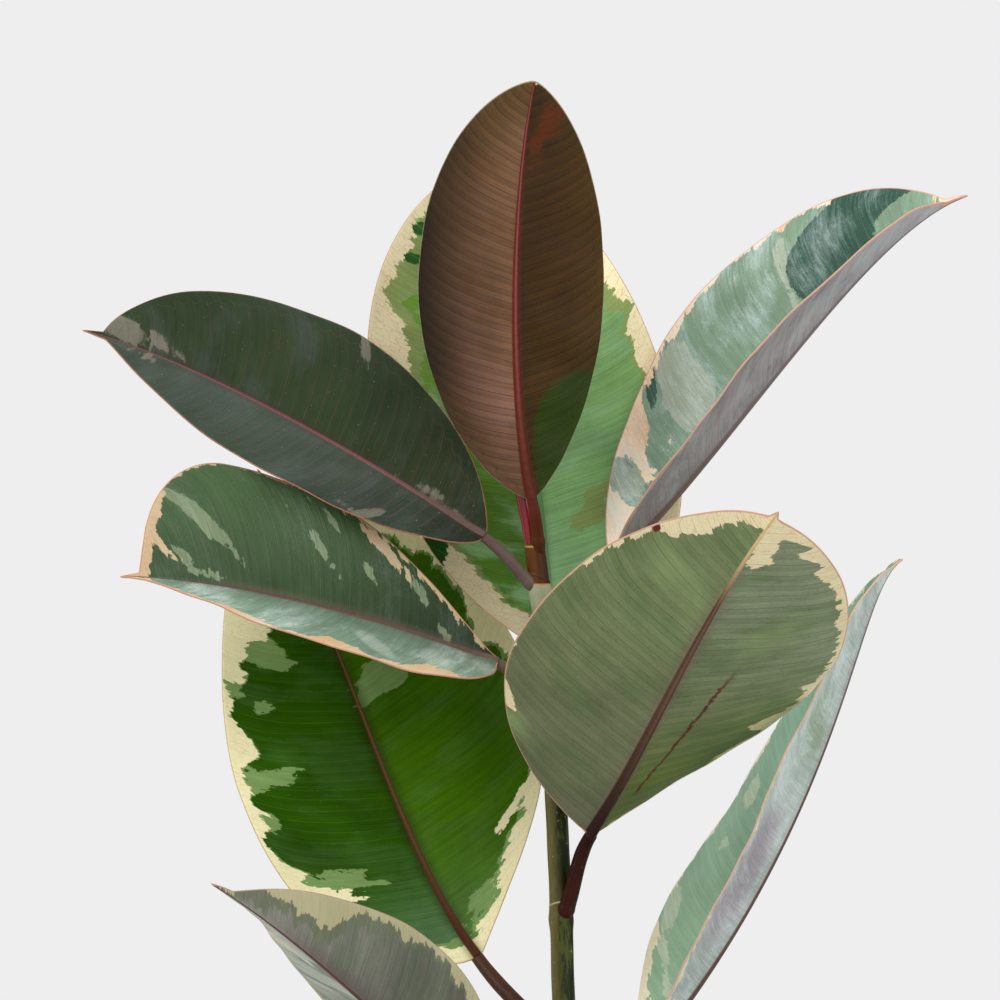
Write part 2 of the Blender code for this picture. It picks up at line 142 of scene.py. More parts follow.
def smooth(low: float, high: float, values: np.ndarray) -> np.ndarray:
    """Rises from 0 at low to 1 at high along 3t^2 - 2t^3."""
    t = np.clip((values - low) / (high - low), 0, 1)
    return t * t * (3 - 2 * t)


def bezier(points: tuple, s: np.ndarray) -> np.ndarray:
    """Points of a cubic curve, the four control points weighted by the Bernstein cubics, at the shares s."""
    p0, p1, p2, p3 = np.asarray(points, float)
    s = np.asarray(s, float)[..., None]
    return (1 - s) ** 3 * p0 + 3 * (1 - s) ** 2 * s * p1 + 3 * (1 - s) * s ** 2 * p2 + s ** 3 * p3


def bezier_direction(points: tuple, s: np.ndarray) -> np.ndarray:
    """Unit tangents of a cubic curve at the shares s."""
    p0, p1, p2, p3 = np.asarray(points, float)
    s = np.asarray(s, float)[..., None]
    return unit((1 - s) ** 2 * (p1 - p0) + 2 * (1 - s) * s * (p2 - p1) + s ** 2 * (p3 - p2))


def through_three(values: tuple[float, float, float], s: np.ndarray) -> np.ndarray:
    """The quadratic through the values at base, middle and tip."""
    base, middle, tip = values
    return base * (1 - s) * (1 - 2 * s) + 4 * middle * s * (1 - s) + tip * s * (2 * s - 1)


def stem_line(z: np.ndarray) -> np.ndarray:
    """Middle of the stem at the heights z."""
    line = bezier(STEM_LINE, np.linspace(0, 1, 200))
    return np.stack([np.interp(z, line[:, 2], line[:, 0]), np.zeros_like(z), z], axis=-1)


def add_surface(name: str, points: np.ndarray, faces: list[np.ndarray]) -> bpy.types.Object:
    """Adds a smooth-shaded object at the origin.

    Args:
        name: the piece's name.
        points: (n, 3) vertices.
        faces: arrays of vertex numbers, one row a face, each array with its own number of corners.

    Returns:
        The new object.
    """
    mesh = bpy.data.meshes.new(name)
    corners = np.concatenate([part.ravel() for part in faces]).astype(np.int32)
    counts = np.concatenate([np.full(len(part), part.shape[1]) for part in faces])
    mesh.vertices.add(len(points))
    mesh.vertices.foreach_set("co", np.ascontiguousarray(points, np.float32).ravel())
    mesh.loops.add(len(corners))
    mesh.loops.foreach_set("vertex_index", corners)
    mesh.polygons.add(len(counts))
    mesh.polygons.foreach_set("loop_start", np.concatenate([[0], np.cumsum(counts)[:-1]]).astype(np.int32))
    mesh.update(calc_edges=True)
    mesh.validate()
    mesh.shade_smooth()
    piece = bpy.data.objects.new(name, mesh)
    bpy.context.scene.collection.objects.link(piece)
    return piece


def add_attribute(piece: bpy.types.Object, name: str, *columns: np.ndarray) -> None:
    """Gives each vertex a vector of the three columns."""
    values = np.stack([np.asarray(column, np.float32).ravel() for column in columns], axis=1)
    piece.data.attributes.new(name, "FLOAT_VECTOR", "POINT").data.foreach_set("vector", values.ravel())


def ring_quads(rings: int, sides: int) -> np.ndarray:
    """Quads of a closed skin over rings, facing outwards where these run anticlockwise seen from ahead."""
    i, j = np.meshgrid(np.arange(rings - 1), np.arange(sides), indexing="ij")
    low, high, k = i * sides, (i + 1) * sides, (j + 1) % sides
    return np.stack([low + j, low + k, high + k, high + j], axis=-1).reshape(-1, 4)


def circle(sides: int) -> np.ndarray:
    """Angles of points evenly round a circle."""
    return 2 * math.pi * np.arange(sides) / sides


def polar(radius: np.ndarray, angle: np.ndarray, height: np.ndarray) -> np.ndarray:
    """Points by their distance from the Z axis, angle and height."""
    return np.stack(np.broadcast_arrays(radius * np.cos(angle), radius * np.sin(angle), height), axis=-1)


def ring_tube(name: str, rings: np.ndarray) -> bpy.types.Object:
    """A closed tube over rings of points (rings, sides, 3), with flat ends."""
    count, sides = rings.shape[:2]
    first = np.arange(sides)[::-1][None]
    last = ((count - 1) * sides + np.arange(sides))[None]
    return add_surface(name, rings.reshape(-1, 3), [ring_quads(count, sides), first, last])


class Value:
    """A shader's socket: arithmetic on it adds Math nodes to its board."""

    def __init__(self, board: "Board", socket: bpy.types.NodeSocket) -> None:
        """Wraps the socket."""
        self.board = board
        self.socket = socket

    def _math(self, operation: str, *values: "Number") -> "Value":
        """A Math node on the given values."""
        return self.board.node("ShaderNodeMath", {"operation": operation}, dict(enumerate(values)))

    def __add__(self, other: "Number") -> "Value":
        """Sum."""
        return self._math("ADD", self, other)

    def __radd__(self, other: float) -> "Value":
        """Sum with a number on the left."""
        return self._math("ADD", other, self)

    def __sub__(self, other: "Number") -> "Value":
        """Difference."""
        return self._math("SUBTRACT", self, other)

    def __rsub__(self, other: float) -> "Value":
        """Difference from a number."""
        return self._math("SUBTRACT", other, self)

    def __mul__(self, other: "Number") -> "Value":
        """Product."""
        return self._math("MULTIPLY", self, other)

    def __rmul__(self, other: float) -> "Value":
        """Product with a number on the left."""
        return self._math("MULTIPLY", other, self)

    def __abs__(self) -> "Value":
        """Absolute value."""
        return self._math("ABSOLUTE", self)

    def floor(self) -> "Value":
        """The whole number below."""
        return self._math("FLOOR", self)

    def sine(self) -> "Value":
        """Sine of an angle in radians."""
        return self._math("SINE", self)

    def fraction(self) -> "Value":
        """What is left above the whole number below."""
        return self._math("FRACT", self)

    def _ramp(self, low: float, high: float, first: float, last: float) -> "Value":
        """Goes smoothly from first at low to last at high."""
        return self.board.node("ShaderNodeMapRange", {"interpolation_type": "SMOOTHSTEP"},
                               {0: self, 1: low, 2: high, 3: first, 4: last})

    def rise(self, low: float, high: float) -> "Value":
        """0 below low and 1 above high, smooth between them."""
        return self._ramp(low, high, 0.0, 1.0)

    def fall(self, low: float, high: float) -> "Value":
        """1 below low and 0 above high, smooth between them."""
        return self._ramp(low, high, 1.0, 0.0)


Number = Union[Value, float]


class Board:
    """A material's nodes, all added through one method."""

    def __init__(self, name: str) -> None:
        """Starts a material with its Principled shader."""
        self.material = bpy.data.materials.new(name)
        self.material.use_nodes = True
        self.tree = self.material.node_tree
        self.shader = self.tree.nodes["Principled BSDF"]

    def plug(self, socket: bpy.types.NodeSocket, value: Union[Value, float, tuple]) -> None:
        """Links a value to a socket, or sets a number or colour on it."""
        if isinstance(value, Value):
            self.tree.links.new(value.socket, socket)
        else:
            socket.default_value = value

    def node(self, kind: str, settings: Optional[dict] = None, inputs: Optional[dict] = None,
             output: Union[int, str] = 0) -> Value:
        """Adds a node.

        Args:
            kind: Blender's name of the node's type.
            settings: its own settings, set before anything is plugged in.
            inputs: values or links by the name or number of the socket.
            output: which socket to hand back.

        Returns:
            The chosen output.
        """
        node = self.tree.nodes.new(kind)
        for name, value in (settings or {}).items():
            setattr(node, name, value)
        for key, value in (inputs or {}).items():
            self.plug(node.inputs[key], value)
        return Value(self, node.outputs[output])

    def shade(self, **values: Union[Value, float, tuple]) -> None:
        """Sets sockets of the Principled shader, named with underscores for spaces."""
        for name, value in values.items():
            self.plug(self.shader.inputs[name.replace("_", " ")], value)

    def parts(self, vector: Value) -> tuple[Value, Value, Value]:
        """The three numbers of a vector."""
        split = self.node("ShaderNodeSeparateXYZ", None, {0: vector}).socket.node
        return Value(self, split.outputs[0]), Value(self, split.outputs[1]), Value(self, split.outputs[2])

    def attribute(self, name: str) -> tuple[Value, Value, Value]:
        """The three numbers that a vertex attribute holds."""
        return self.parts(self.node("ShaderNodeAttribute", {"attribute_name": name}, output="Vector"))

    def place(self) -> Value:
        """Object coordinates."""
        return self.node("ShaderNodeTexCoord", output="Object")

    def join(self, x: Number, y: Number, z: Number) -> Value:
        """A vector of three numbers."""
        return self.node("ShaderNodeCombineXYZ", None, {0: x, 1: y, 2: z})

    def noise(self, vector: Value, scale: float = 1.0, detail: float = 2.0, roughness: float = 0.5) -> Value:
        """Soft noise about 0, mostly within half a unit."""
        return self.node("ShaderNodeTexNoise", None,
                         {"Vector": vector, "Scale": scale, "Detail": detail, "Roughness": roughness}) - 0.5

    def mix(self, share: Number, first: Union[Value, tuple], second: Union[Value, tuple]) -> Value:
        """Mixes two colours."""
        return self.node("ShaderNodeMix", {"data_type": "RGBA"}, {0: share, 6: first, 7: second}, 2)

    def blend(self, share: Value, first: float, second: float) -> Value:
        """Mixes two numbers."""
        return share * (second - first) + first

    def tint(self, colour: Colour, amount: Value) -> Value:
        """A painted colour, brighter or darker by the given share."""
        return self.shift(self.mix(0.0, paint(colour), paint(colour)), amount)

    def shift(self, colour: Value, amount: Value) -> Value:
        """Makes a colour brighter or darker by the given share."""
        return self.node("ShaderNodeVectorMath", {"operation": "SCALE"}, {0: colour, "Scale": amount + 1.0})

    def bump(self, height: Value, distance: float) -> Value:
        """A normal bent by a height that is 1 at the given distance in metres."""
        return self.node("ShaderNodeBump", None, {"Height": height, "Distance": distance, "Strength": 1.0})


class Tone(Enum):
    """What a mark on a blade is painted with."""

    CREAM = 0
    GREY = 1
    ACCENT = 2
    BODY = 3


@dataclass(frozen=True)
class Mark:
    """A rounded patch on a blade, in flat millimetres."""

    tone: Tone
    v: float
    r: float
    half_v: float
    half_r: float
    lean: float = 0.0           # how far v moves for each millimetre of |r|
    power: float = 2.4

    def depth(self, v: np.ndarray, r: np.ndarray) -> np.ndarray:
        """How far inside the patch a point lies: the smaller half size times 1 - (|x|^p + |y|^p)^(1/p)."""
        y = r - self.r
        x = v - self.v - self.lean * y * np.sign(self.r)
        powers = np.abs(x / self.half_v) ** self.power + np.abs(y / self.half_r) ** self.power
        return min(self.half_v, self.half_r) * (1 - powers ** (1 / self.power))


@dataclass(frozen=True)
class Half:
    """One half of a blade, from the midrib out to the margin."""

    width: float
    widest: float
    base_fullness: float
    tip_fullness: float
    fold: tuple[float, float, float]
    curl: float = -8.0
    wave: tuple[float, float, float] = (0.0012, 2.6, 0.1)

    def reach(self, drip: float, s: np.ndarray) -> np.ndarray:
        """From midrib to margin: an oval, (1 - t^2)^(1/fullness) each way, that ends in a narrow tip."""
        before, beyond = s / self.widest, (s - self.widest) / (1 - drip - self.widest)
        from_widest = np.where(s < self.widest, 1 - before, beyond)
        fullness = np.where(s < self.widest, self.base_fullness, self.tip_fullness)
        oval = (1 - np.clip(from_widest, 0, 1) ** 2) ** (1 / fullness)
        tail = TAIL_WIDTH * np.clip((1 - s) / (drip + TAIL_LENGTH), 0, 1) ** TAIL_TAPER * (s > self.widest)
        return self.width * np.maximum(oval, tail) + BASE_HALF_WIDTH * (1 - s) ** BASE_TAPER

    def section(self, s: np.ndarray, r: np.ndarray) -> tuple[np.ndarray, np.ndarray]:
        """How far across and up from the midrib: an arc that starts at the fold and turns by the curl."""
        out = r / self.width
        fold = np.radians(through_three(self.fold, s))
        curl = math.radians(self.curl)
        across = self.width * (np.sin(fold + curl * out) - np.sin(fold)) / curl
        up = self.width * (np.cos(fold) - np.cos(fold + curl * out)) / curl
        height, waves, phase = self.wave
        return across, up + height * out ** 2 * np.sin(2 * math.pi * (waves * s + phase))


@dataclass(frozen=True)
class Leaf:
    """A leaf's petiole, midrib and halves, with the part's own sizes."""

    name: str
    foot: float
    rise: float
    thickness: float
    midrib: tuple[Point, Point, Point, Point]
    faces: tuple[Point, Point]
    drip: float
    left: Half
    right: Half
    aside: tuple[float, float] = (0.0, 0.0)

    def normal(self, s: np.ndarray) -> np.ndarray:
        """Where the upper side looks on the midrib, square to it."""
        face_base, face_tip = np.asarray(self.faces, float)
        face = face_base + (face_tip - face_base) * s[..., None]
        along = bezier_direction(self.midrib, s)
        return unit(face - (face * along).sum(-1, keepdims=True) * along)

    def surface(self, s: np.ndarray, r: np.ndarray) -> np.ndarray:
        """Points of the blade's middle surface at the share s of the midrib and the distance r from it."""
        middle, normal = bezier(self.midrib, s), self.normal(s)
        side = np.cross(normal, bezier_direction(self.midrib, s))
        points = np.zeros(s.shape + (3,))
        for sign, half in ((1, self.left), (-1, self.right)):
            across, up = half.section(s, np.abs(r))
            there = middle + side * (sign * across)[..., None] + normal * up[..., None]
            points = np.where((sign * r >= 0)[..., None], there, points)
        return points

    def petiole_line(self) -> np.ndarray:
        """The four control points of the petiole."""
        foot = stem_line(np.array(self.foot)) + (*self.aside, 0)
        along = bezier_direction(self.midrib, np.array(0.0))
        end = np.array(self.midrib[0]) - GAP * along
        reach = PETIOLE_REACH * np.linalg.norm(end - foot)
        outward = unit((end - foot) * (1, 1, 0))
        rise = math.radians(self.rise)
        leave = outward * math.cos(rise) + np.array([0, 0, 1]) * math.sin(rise)
        return np.array([foot, foot + leave * reach, end - along * reach, end])


@dataclass(frozen=True)
class BladeFinish:
    """One side of a blade; colours as they look in the studio, lengths in millimetres."""

    left: tuple[Colour, Colour]                 # the left half's body at base and tip
    right: tuple[Colour, Colour]
    cream: Colour = (218, 208, 170)
    painted_side_light: tuple[float, float] = (1.0, 1.0)       # painted light and shade: how bright cream and grey are on the left and right half, as light falls on each
    blush: Colour = (206, 180, 134)             # tints parts of the cream
    blush_share: float = -0.1
    net: Colour = (178, 146, 96)                # fine net of veins in the cream
    net_share: float = 0.45
    mesh_share: float = 0.0                     # the same net over the rest, in the veins' colour
    grey: Colour = (112, 138, 88)
    accent: Colour = (40, 70, 20)
    accent_gloss: float = 0.0                   # how much the accent's roughness falls
    soft: tuple[float, float] = (0.3, 0.3)      # how softly grey and accent end
    teeth: float = 1.0                          # how far the marks' edges run in and out along the veins
    base_reach: float = 0.6                     # share of the length in which the base's colour fades
    fringe: Colour = (70, 54, 22)               # the body near the margin
    fringe_share: float = 0.0
    patch: Colour = (90, 120, 60)               # cloudy parts of the body
    patch_share: float = 0.0
    slope: tuple[float, float] = (0.0, 0.0)     # brightness that each half gains per mm towards the rib
    mottle: float = 0.5                         # how uneven the body's brightness is
    streaks: float = 0.5                        # brightness of the fine streaks along the side veins
    painted_quilt_shade: float = 0.05                         # painted shade of the quilted blade: brightness that rises from one side vein to the next
    vein: Colour = (110, 140, 60)
    vein_share: float = 0.3
    vein_spacing: float = 5.5
    vein_width: float = 0.30
    loop: float = 0.0                           # how far inside the margin the veins join, 0 for nowhere
    rib: Colour = (110, 70, 50)
    rib_reach: float = 0.75                     # share of the rib's half width that has its colour
    rib_light: Colour = (140, 95, 75)           # along the rib's middle
    rib_tip: Optional[Colour] = None            # the rib in the blade's last part, where it differs
    foot_reach: float = 0.55                    # share of the length in which the petiole's colour fades
    haze: Colour = (60, 50, 20)                 # beside the rib
    haze_share: float = 0.3
    haze_reach: float = 5.0
    edge: Colour = (178, 132, 106)
    edge_width: float = 0.42
    # painted highlight: a pale sheen mixed into the base colour
    sheen: Colour = (200, 210, 205)
    sheen_share: float = 0.0
    sheen_halves: tuple[float, float] = (1.0, 1.0)      # on the left and on the right half
    sheen_reach: float = 30.0                   # from the margin inwards
    scratch: float = 0.0                        # strength of one torn line along the left half
    specks: float = 0.2                         # strength of tiny pale dots
    specular: float = 0.25
    roughness: float = 0.42
    relief: float = -0.00008                    # height of the veins in metres, below 0 where they are sunk

    def material(self, name: str, foot: Colour) -> bpy.types.Material:
        """Paints body, marks, veins, rib and edge from the blade's attributes.

        Args:
            name: the material's name.
            foot: colour of the petiole where it meets the rib.

        Returns:
            The finished material.
        """
        board = Board(name)
        w, r, seed = board.attribute("blade")
        cream_depth, grey_depth, accent_depth = board.attribute("zones")
        rim, rib, share = board.attribute("rim")

        def noise(per_w: float, per_r: float, apart: float, detail: int, roughness: float = 0.5) -> Value:
            """Noise over the flat blade; apart keeps it unlike the others."""
            depth = seed + apart if apart else seed
            return board.noise(board.join(w * per_w, r * per_r, depth), detail=detail, roughness=roughness)

        cloud = noise(0.03, 0.025, 3.0, 4, 0.6)
        fine = noise(0.7, 0.06, 5.0, 3, 0.6)
        strand = noise(2.0, 0.035, 0.0, 3, 0.75)
        grain = noise(1.6, 1.1, 0.0, 3, 0.7)

        # Teeth: the marks end in steps along the side veins, with ragged ends
        sway = noise(0.25, 0.12, 0.0, 2)
        column = ((w + sway * 5.0) * 0.42).floor()
        steps = board.noise(board.join(column * 0.61, r * 0.03, seed), detail=0)
        drift = noise(0.085, 0.06, 0.0, 3, 0.6)
        ragged = noise(0.60, 0.34, 0.0, 5, 0.7)
        teeth = (steps * 6.0 + drift * 10.0 + ragged * 5.0) * self.teeth
        cream = (cream_depth + teeth).rise(-0.25, 0.25)
        grey = (grey_depth + teeth * 0.9 + drift * (4.0 * self.teeth)).rise(-self.soft[0], self.soft[0])
        accent = (accent_depth + (ragged * 4.0 + drift * 3.0) * self.teeth).rise(-self.soft[1], self.soft[1])

        # Body
        along = share.rise(-0.1, self.base_reach)
        left = board.mix(along, paint(self.left[0]), paint(self.left[1]))
        right = board.mix(along, paint(self.right[0]), paint(self.right[1]))
        on_left = r.rise(-1.0, 1.0)
        body = board.mix(on_left, right, left)
        patches = noise(0.06, 0.025, 21.0, 4, 0.6)
        body = board.mix((rim + patches * 12.0).fall(3.0, 22.0) * self.fringe_share, body, paint(self.fringe))
        body = board.mix(patches.rise(-0.04, 0.14) * self.patch_share, body, paint(self.patch))
        cells = board.join(w * 0.09 + fine * 0.2, r * 0.05 + sway * 0.3, seed)
        wall = board.node("ShaderNodeTexVoronoi", {"feature": "DISTANCE_TO_EDGE"}, {"Vector": cells})
        net = wall.fall(0.0, 0.04)
        body = board.mix(net * self.mesh_share, body, paint(self.vein))
        course = w + noise(0.06, 0.008, 9.0, 1) * 5.0
        between = (course * (1 / self.vein_spacing)).fraction()
        # Random tone, streaks and grain, and painted shade of the quilted blade between side veins
        body = board.shift(body, cloud * self.mottle * 2.0 + strand * self.streaks * 2.0 + grain * 0.3
                           + (between - 0.5) * self.painted_quilt_shade * 2.0)
        if any(self.slope):
            body = board.shift(body, (20.0 - abs(r)) * board.blend(on_left, self.slope[1], self.slope[0]))

        # Marks
        pale = board.mix((cloud * 1.8 + fine * 0.8 + self.blush_share).rise(0.0, 0.6), paint(self.cream),
                         paint(self.blush))
        pale = board.mix(net * (self.net_share * (cloud * 2.0 + 0.9)), pale, paint(self.net))
        # Painted light and shade: cream and grey made brighter or darker on each half, as light falls on it
        shade = board.blend(on_left, self.painted_side_light[1] - 1.0, self.painted_side_light[0] - 1.0)
        pale = board.shift(pale, fine * 0.25 + cloud * 0.4 + grain * 0.15 + shade)
        surface = board.mix(grey, body, board.tint(self.grey, fine * 0.6 + cloud * 0.6 + grain * 0.3 + shade))
        surface = board.mix(accent, surface, board.tint(self.accent, fine * 0.8 + cloud * 0.7 + grain * 0.3))
        surface = board.mix(cream, surface, pale)

        # Side veins, every few millimetres and finer between
        reach = rim.rise(self.loop * 0.6, self.loop + 1.5) if self.loop else rim.rise(0.5, 3.0)
        line = (abs(between - 0.5) * self.vein_spacing).fall(self.vein_width * 0.2, self.vein_width)
        hair_spacing = self.vein_spacing / HAIR_VEINS
        off_hair = abs((course * (HAIR_VEINS / self.vein_spacing)).fraction() - 0.5) * hair_spacing
        hair = off_hair.fall(0.04, 0.20)
        veins = (line * (0.8 + cloud * 2.0) + hair * (0.25 + cloud)) * reach * rib.rise(0.8, 1.6)
        if self.loop:
            bow = (course * (2 * math.pi / self.vein_spacing)).sine() * 0.9 + self.loop
            veins = veins + abs(rim - bow).fall(0.1, 0.32) * (0.6 + cloud)
        surface = board.mix(veins * (self.vein_share * (1.0 - cream * 0.5)), surface, paint(self.vein))

        # Painted sheen (a pale highlight mixed into the colour), haze beside the rib, scratch, specks
        creases = abs(noise(0.16, 0.06, 13.0, 4, 0.6)).fall(0.0, 0.07)
        bright = noise(0.05, 0.028, 17.0, 3, 0.6)
        gleam = (bright * 3.5 + fine * 1.2 + grain * 1.2 + 0.3).rise(0.0, 1.0) * (creases * 0.5 + 0.6)
        on_half = board.blend(r.rise(-2.0, 2.0), self.sheen_halves[1], self.sheen_halves[0])
        near = rim.fall(self.sheen_reach * 0.25, self.sheen_reach)
        shine = gleam * self.sheen_share * on_half * near * (1.0 - accent * 0.4)
        surface = board.mix(shine, surface, paint(self.sheen))
        beside = abs(r).fall(0.0, self.haze_reach) * share.fall(0.6, 0.9)
        surface = board.mix(beside * (self.haze_share * (fine + 1.0)), surface, paint(self.haze))
        if self.scratch:
            start, slope = SCRATCH_LINE
            tear = abs(r - (w * slope + start) + ragged * 5.0 + sway * 3.0)
            length = w.rise(*SCRATCH_SPAN[:2]) * w.fall(*SCRATCH_SPAN[2:])
            torn = tear.fall(0.4, 1.5) * length * (ragged + 0.2).rise(-0.1, 0.15)
            surface = board.mix(torn * self.scratch, surface, paint(SCRATCH_COLOUR))
        dots = noise(1.1, 1.1, 31.0, 0).rise(0.33, 0.39)
        surface = board.mix(dots * self.specks, surface, paint(SPECK_COLOUR))

        # Rib and edge
        fading = share.rise(0.0, self.foot_reach)
        core = board.mix(fading, paint(foot), paint(self.rib))
        crest = board.mix(fading, paint(foot), paint(self.rib_light))
        keel = board.mix(rib.fall(0.0, 0.55), core, crest)
        if self.rib_tip:
            keel = board.mix(share.rise(0.70, 0.92), keel, paint(self.rib_tip))
        keel = board.shift(keel, fine * 0.4 + strand * 0.3)
        wide = rib - share.fall(0.0, 0.2) * 0.15
        surface = board.mix(wide.fall(self.rib_reach * 0.8, self.rib_reach * 1.15), surface, keel)
        surface = board.mix((rim + fine * 0.6).fall(self.edge_width * 0.6, self.edge_width * 1.2), surface,
                            paint(self.edge))

        swell = (course * (2 * math.pi / self.vein_spacing)).sine() * reach
        height = veins * (0.7 if self.relief > 0 else -0.7) + swell * 0.35 + grain * 0.7 + strand * 0.6
        board.shade(Base_Color=surface, Specular_IOR_Level=self.specular,
                    Roughness=grain * 0.12 + strand * 0.15 + (self.roughness - accent * self.accent_gloss),
                    Normal=board.bump(height, abs(self.relief)))
        return board.material


@dataclass(frozen=True)
class StalkFinish:
    """A petiole's skin from foot to blade."""

    foot: Colour
    blade: Colour
    fleck: Colour = (150, 120, 95)
    roughness: float = 0.43

    def material(self, name: str) -> bpy.types.Material:
        """Soft streaks and small pale flecks over a colour that changes from foot to blade."""
        board = Board(name)
        share, turn, run = board.attribute("stalk")
        streak = board.noise(board.join(turn * 0.5, run * 0.2, 2.0), detail=3, roughness=0.5)
        grain = board.noise(board.join(turn * 14.0, run * 2.2, 7.0), detail=2)
        skin = board.shift(board.mix(share, paint(self.foot), paint(self.blade)), streak * 0.5 + grain * 0.3)
        spots = board.noise(board.join(turn * 7.0, run * 1.2, 4.0), detail=0).rise(0.24, 0.30)
        skin = board.mix(spots * 0.4, skin, paint(self.fleck))
        board.shade(Base_Color=skin, Roughness=grain * 0.15 + self.roughness, Specular_IOR_Level=0.2,
                    Normal=board.bump(grain, 0.00003))
        return board.material


@dataclass(frozen=True)
class BladeLook:
    """How one blade is marked: the width of its pale edging by v, patches, and the finishes of its sides."""

    upper: BladeFinish
    under: BladeFinish
    stalk: StalkFinish
    cream_left: Profile
    cream_right: Profile
    grey_left: Profile = ((0, 0),)
    grey_right: Profile = ((0, 0),)
    marks: tuple[Mark, ...] = ()

    def zones(self, v: np.ndarray, r: np.ndarray, rim: np.ndarray) -> tuple[np.ndarray, ...]:
        """How far inside cream, grey and accent each point lies; later patches cover earlier ones.

        Args:
            v: distance along the midrib, less the marks' lean.
            r: distance from the midrib.
            rim: distance from the margin.

        Returns:
            The depths for cream, grey and accent, below 0 outside.
        """
        def edging(left: Profile, right: Profile) -> np.ndarray:
            """Width of the edging on each half."""
            on_left, on_right = (np.interp(v, *np.array(widths, float).T) for widths in (left, right))
            return np.where(r >= 0, on_left, on_right)

        cream = edging(self.cream_left, self.cream_right)
        grey = edging(self.grey_left, self.grey_right)
        nowhere = np.full_like(v, -DEPTH_LIMIT)
        depths = [cream - rim, np.where(grey > 0, cream + grey - rim, nowhere), nowhere]
        for mark in self.marks:
            inside = mark.depth(v, r)
            depths = [np.maximum(depth, inside) if mark.tone.value == i else np.minimum(depth, -inside)
                      for i, depth in enumerate(depths)]
        return tuple(np.clip(depth, -DEPTH_LIMIT, DEPTH_LIMIT) for depth in depths)


@dataclass(frozen=True)
class Blade:
    """A blade with both sides, a rounded margin and its rib, over the CAD node leaf_NAME."""

    leaf: Leaf
    look: BladeLook
    seed: float

    def _half_columns(self, s: np.ndarray, half: Half) -> np.ndarray:
        """Distances r of one half's columns: even over the rib, then closer together towards the margin."""
        width = half.reach(self.leaf.drip, s)[:, None]
        rib = np.minimum(self._rib_width(s)[:, None], RIB_LIMITS[0] * width)
        over_rib = np.arange(1, RIB_COLUMNS + 1) / RIB_COLUMNS
        t = np.arange(1, HALF_COLUMNS + 1) / HALF_COLUMNS
        beyond = 1 - (1 - t) * (1 - MARGIN_COLUMNS * t ** 3)
        return np.concatenate([rib * over_rib, rib + (width - rib) * beyond], axis=1)

    def _rib_width(self, s: np.ndarray) -> np.ndarray:
        """Half width of the rib: the petiole's, slimming evenly to the tip."""
        return self.leaf.thickness * RIB_WIDTH * (1 - RIB_SLIMMING * s)

    def _grid(self) -> tuple[np.ndarray, np.ndarray]:
        """Shares s and distances r of the grid, from the right margin to the left one."""
        share = np.arange(BLADE_ROWS) / BLADE_ROWS
        s = share + BLADE_END_ROWS * ((1 - np.cos(math.pi * share)) / 2 - share)
        left, right = self._half_columns(s, self.leaf.left), self._half_columns(s, self.leaf.right)
        r = np.concatenate([-right[:, ::-1], np.zeros((len(s), 1)), left], axis=1)
        return np.broadcast_to(s[:, None], r.shape), r

    def _arc(self, s: np.ndarray) -> np.ndarray:
        """Length of the midrib up to the share s."""
        shares = np.linspace(0, 1, ARC_STEPS)
        steps = np.linalg.norm(np.diff(bezier(self.leaf.midrib, shares), axis=0), axis=1)
        return np.interp(s, shares, np.concatenate([[0], np.cumsum(steps)]))

    def _rim(self, a: np.ndarray, r: np.ndarray) -> np.ndarray:
        """Shortest distance to the margin on the flat blade, over all stretches of its outline."""
        s = np.linspace(0, 1, OUTLINE_STEPS)
        rim = np.full(a.shape, 1.0)
        for sign, half in ((1, self.leaf.left), (-1, self.leaf.right)):
            line = np.stack([self._arc(s), half.reach(self.leaf.drip, s)], axis=1)
            start, step = line[:-1], np.diff(line, axis=0)
            mine = np.nonzero(sign * r >= 0)
            point = np.stack([a[mine], np.abs(r[mine])], axis=1)[:, None]
            t = np.clip(((point - start) * step).sum(-1) / np.maximum((step ** 2).sum(-1), 1e-12), 0, 1)
            rim[mine] = np.linalg.norm(point - start - t[..., None] * step, axis=-1).min(1)
        return rim

    def build(self) -> bpy.types.Object:
        """Builds both sides as one closed skin of rings round the blade, and dresses them.

        The upper side stands half the thickness above the middle surface, with the petiole's ridge sinking
        into it. The under side stands as far below, with the rib's round under the midrib. The margin joins
        the two.

        Returns:
            The finished piece.
        """
        leaf = self.leaf
        s, r = self._grid()
        rows, columns = s.shape
        a = self._arc(s)
        rim = self._rim(a, r)
        middle = leaf.surface(s, r)
        half_width = np.where(r >= 0, r[:, -1:], -r[:, :1])
        rib_share = np.abs(r) / np.minimum(self._rib_width(s), RIB_LIMITS[1] * half_width)
        normals = unit(np.cross(np.gradient(middle, axis=0), np.gradient(middle, axis=1)))
        square = bezier_direction(leaf.midrib, np.array(0.0))
        normals[0] = unit(normals[0] - normals[0].dot(square)[:, None] * square)
        own = smooth(0, RIB_BLEND, rib_share)[..., None]
        normals = unit(normals * own + normals[:, columns // 2][:, None] * (1 - own))

        round_rib = np.clip(1 - rib_share ** 2, 0, 1) ** RIB_ROUNDNESS
        edge = np.clip(rim / MARGIN_ROUNDING, 0, 1)
        half_thick = BLADE_THICKNESS / 2 * np.sqrt(np.clip(1 - (1 - edge) ** 2, 0, 1))
        ridge = (leaf.thickness - BLADE_THICKNESS / 2) * np.exp(-(a / RIDGE_LENGTH) ** 2) * round_rib
        depth = (RIB_TIP_DEPTH + RIB_DEPTH * leaf.thickness * (1 - s) ** RIB_TAPER) * round_rib
        far = smooth(1.0, RIPPLE_START[0], rib_share) * smooth(0, RIPPLE_START[1], a)
        waves = sum(np.sin(a * along + np.abs(r) * away + turns * self.seed)
                    for turns, (along, away) in enumerate(RIPPLE_WAVES, 1))
        middle = middle + normals * (RIPPLE * far * waves)[..., None]
        top = middle + normals * (half_thick + ridge)[..., None]
        under = middle - normals * (half_thick + depth)[..., None]

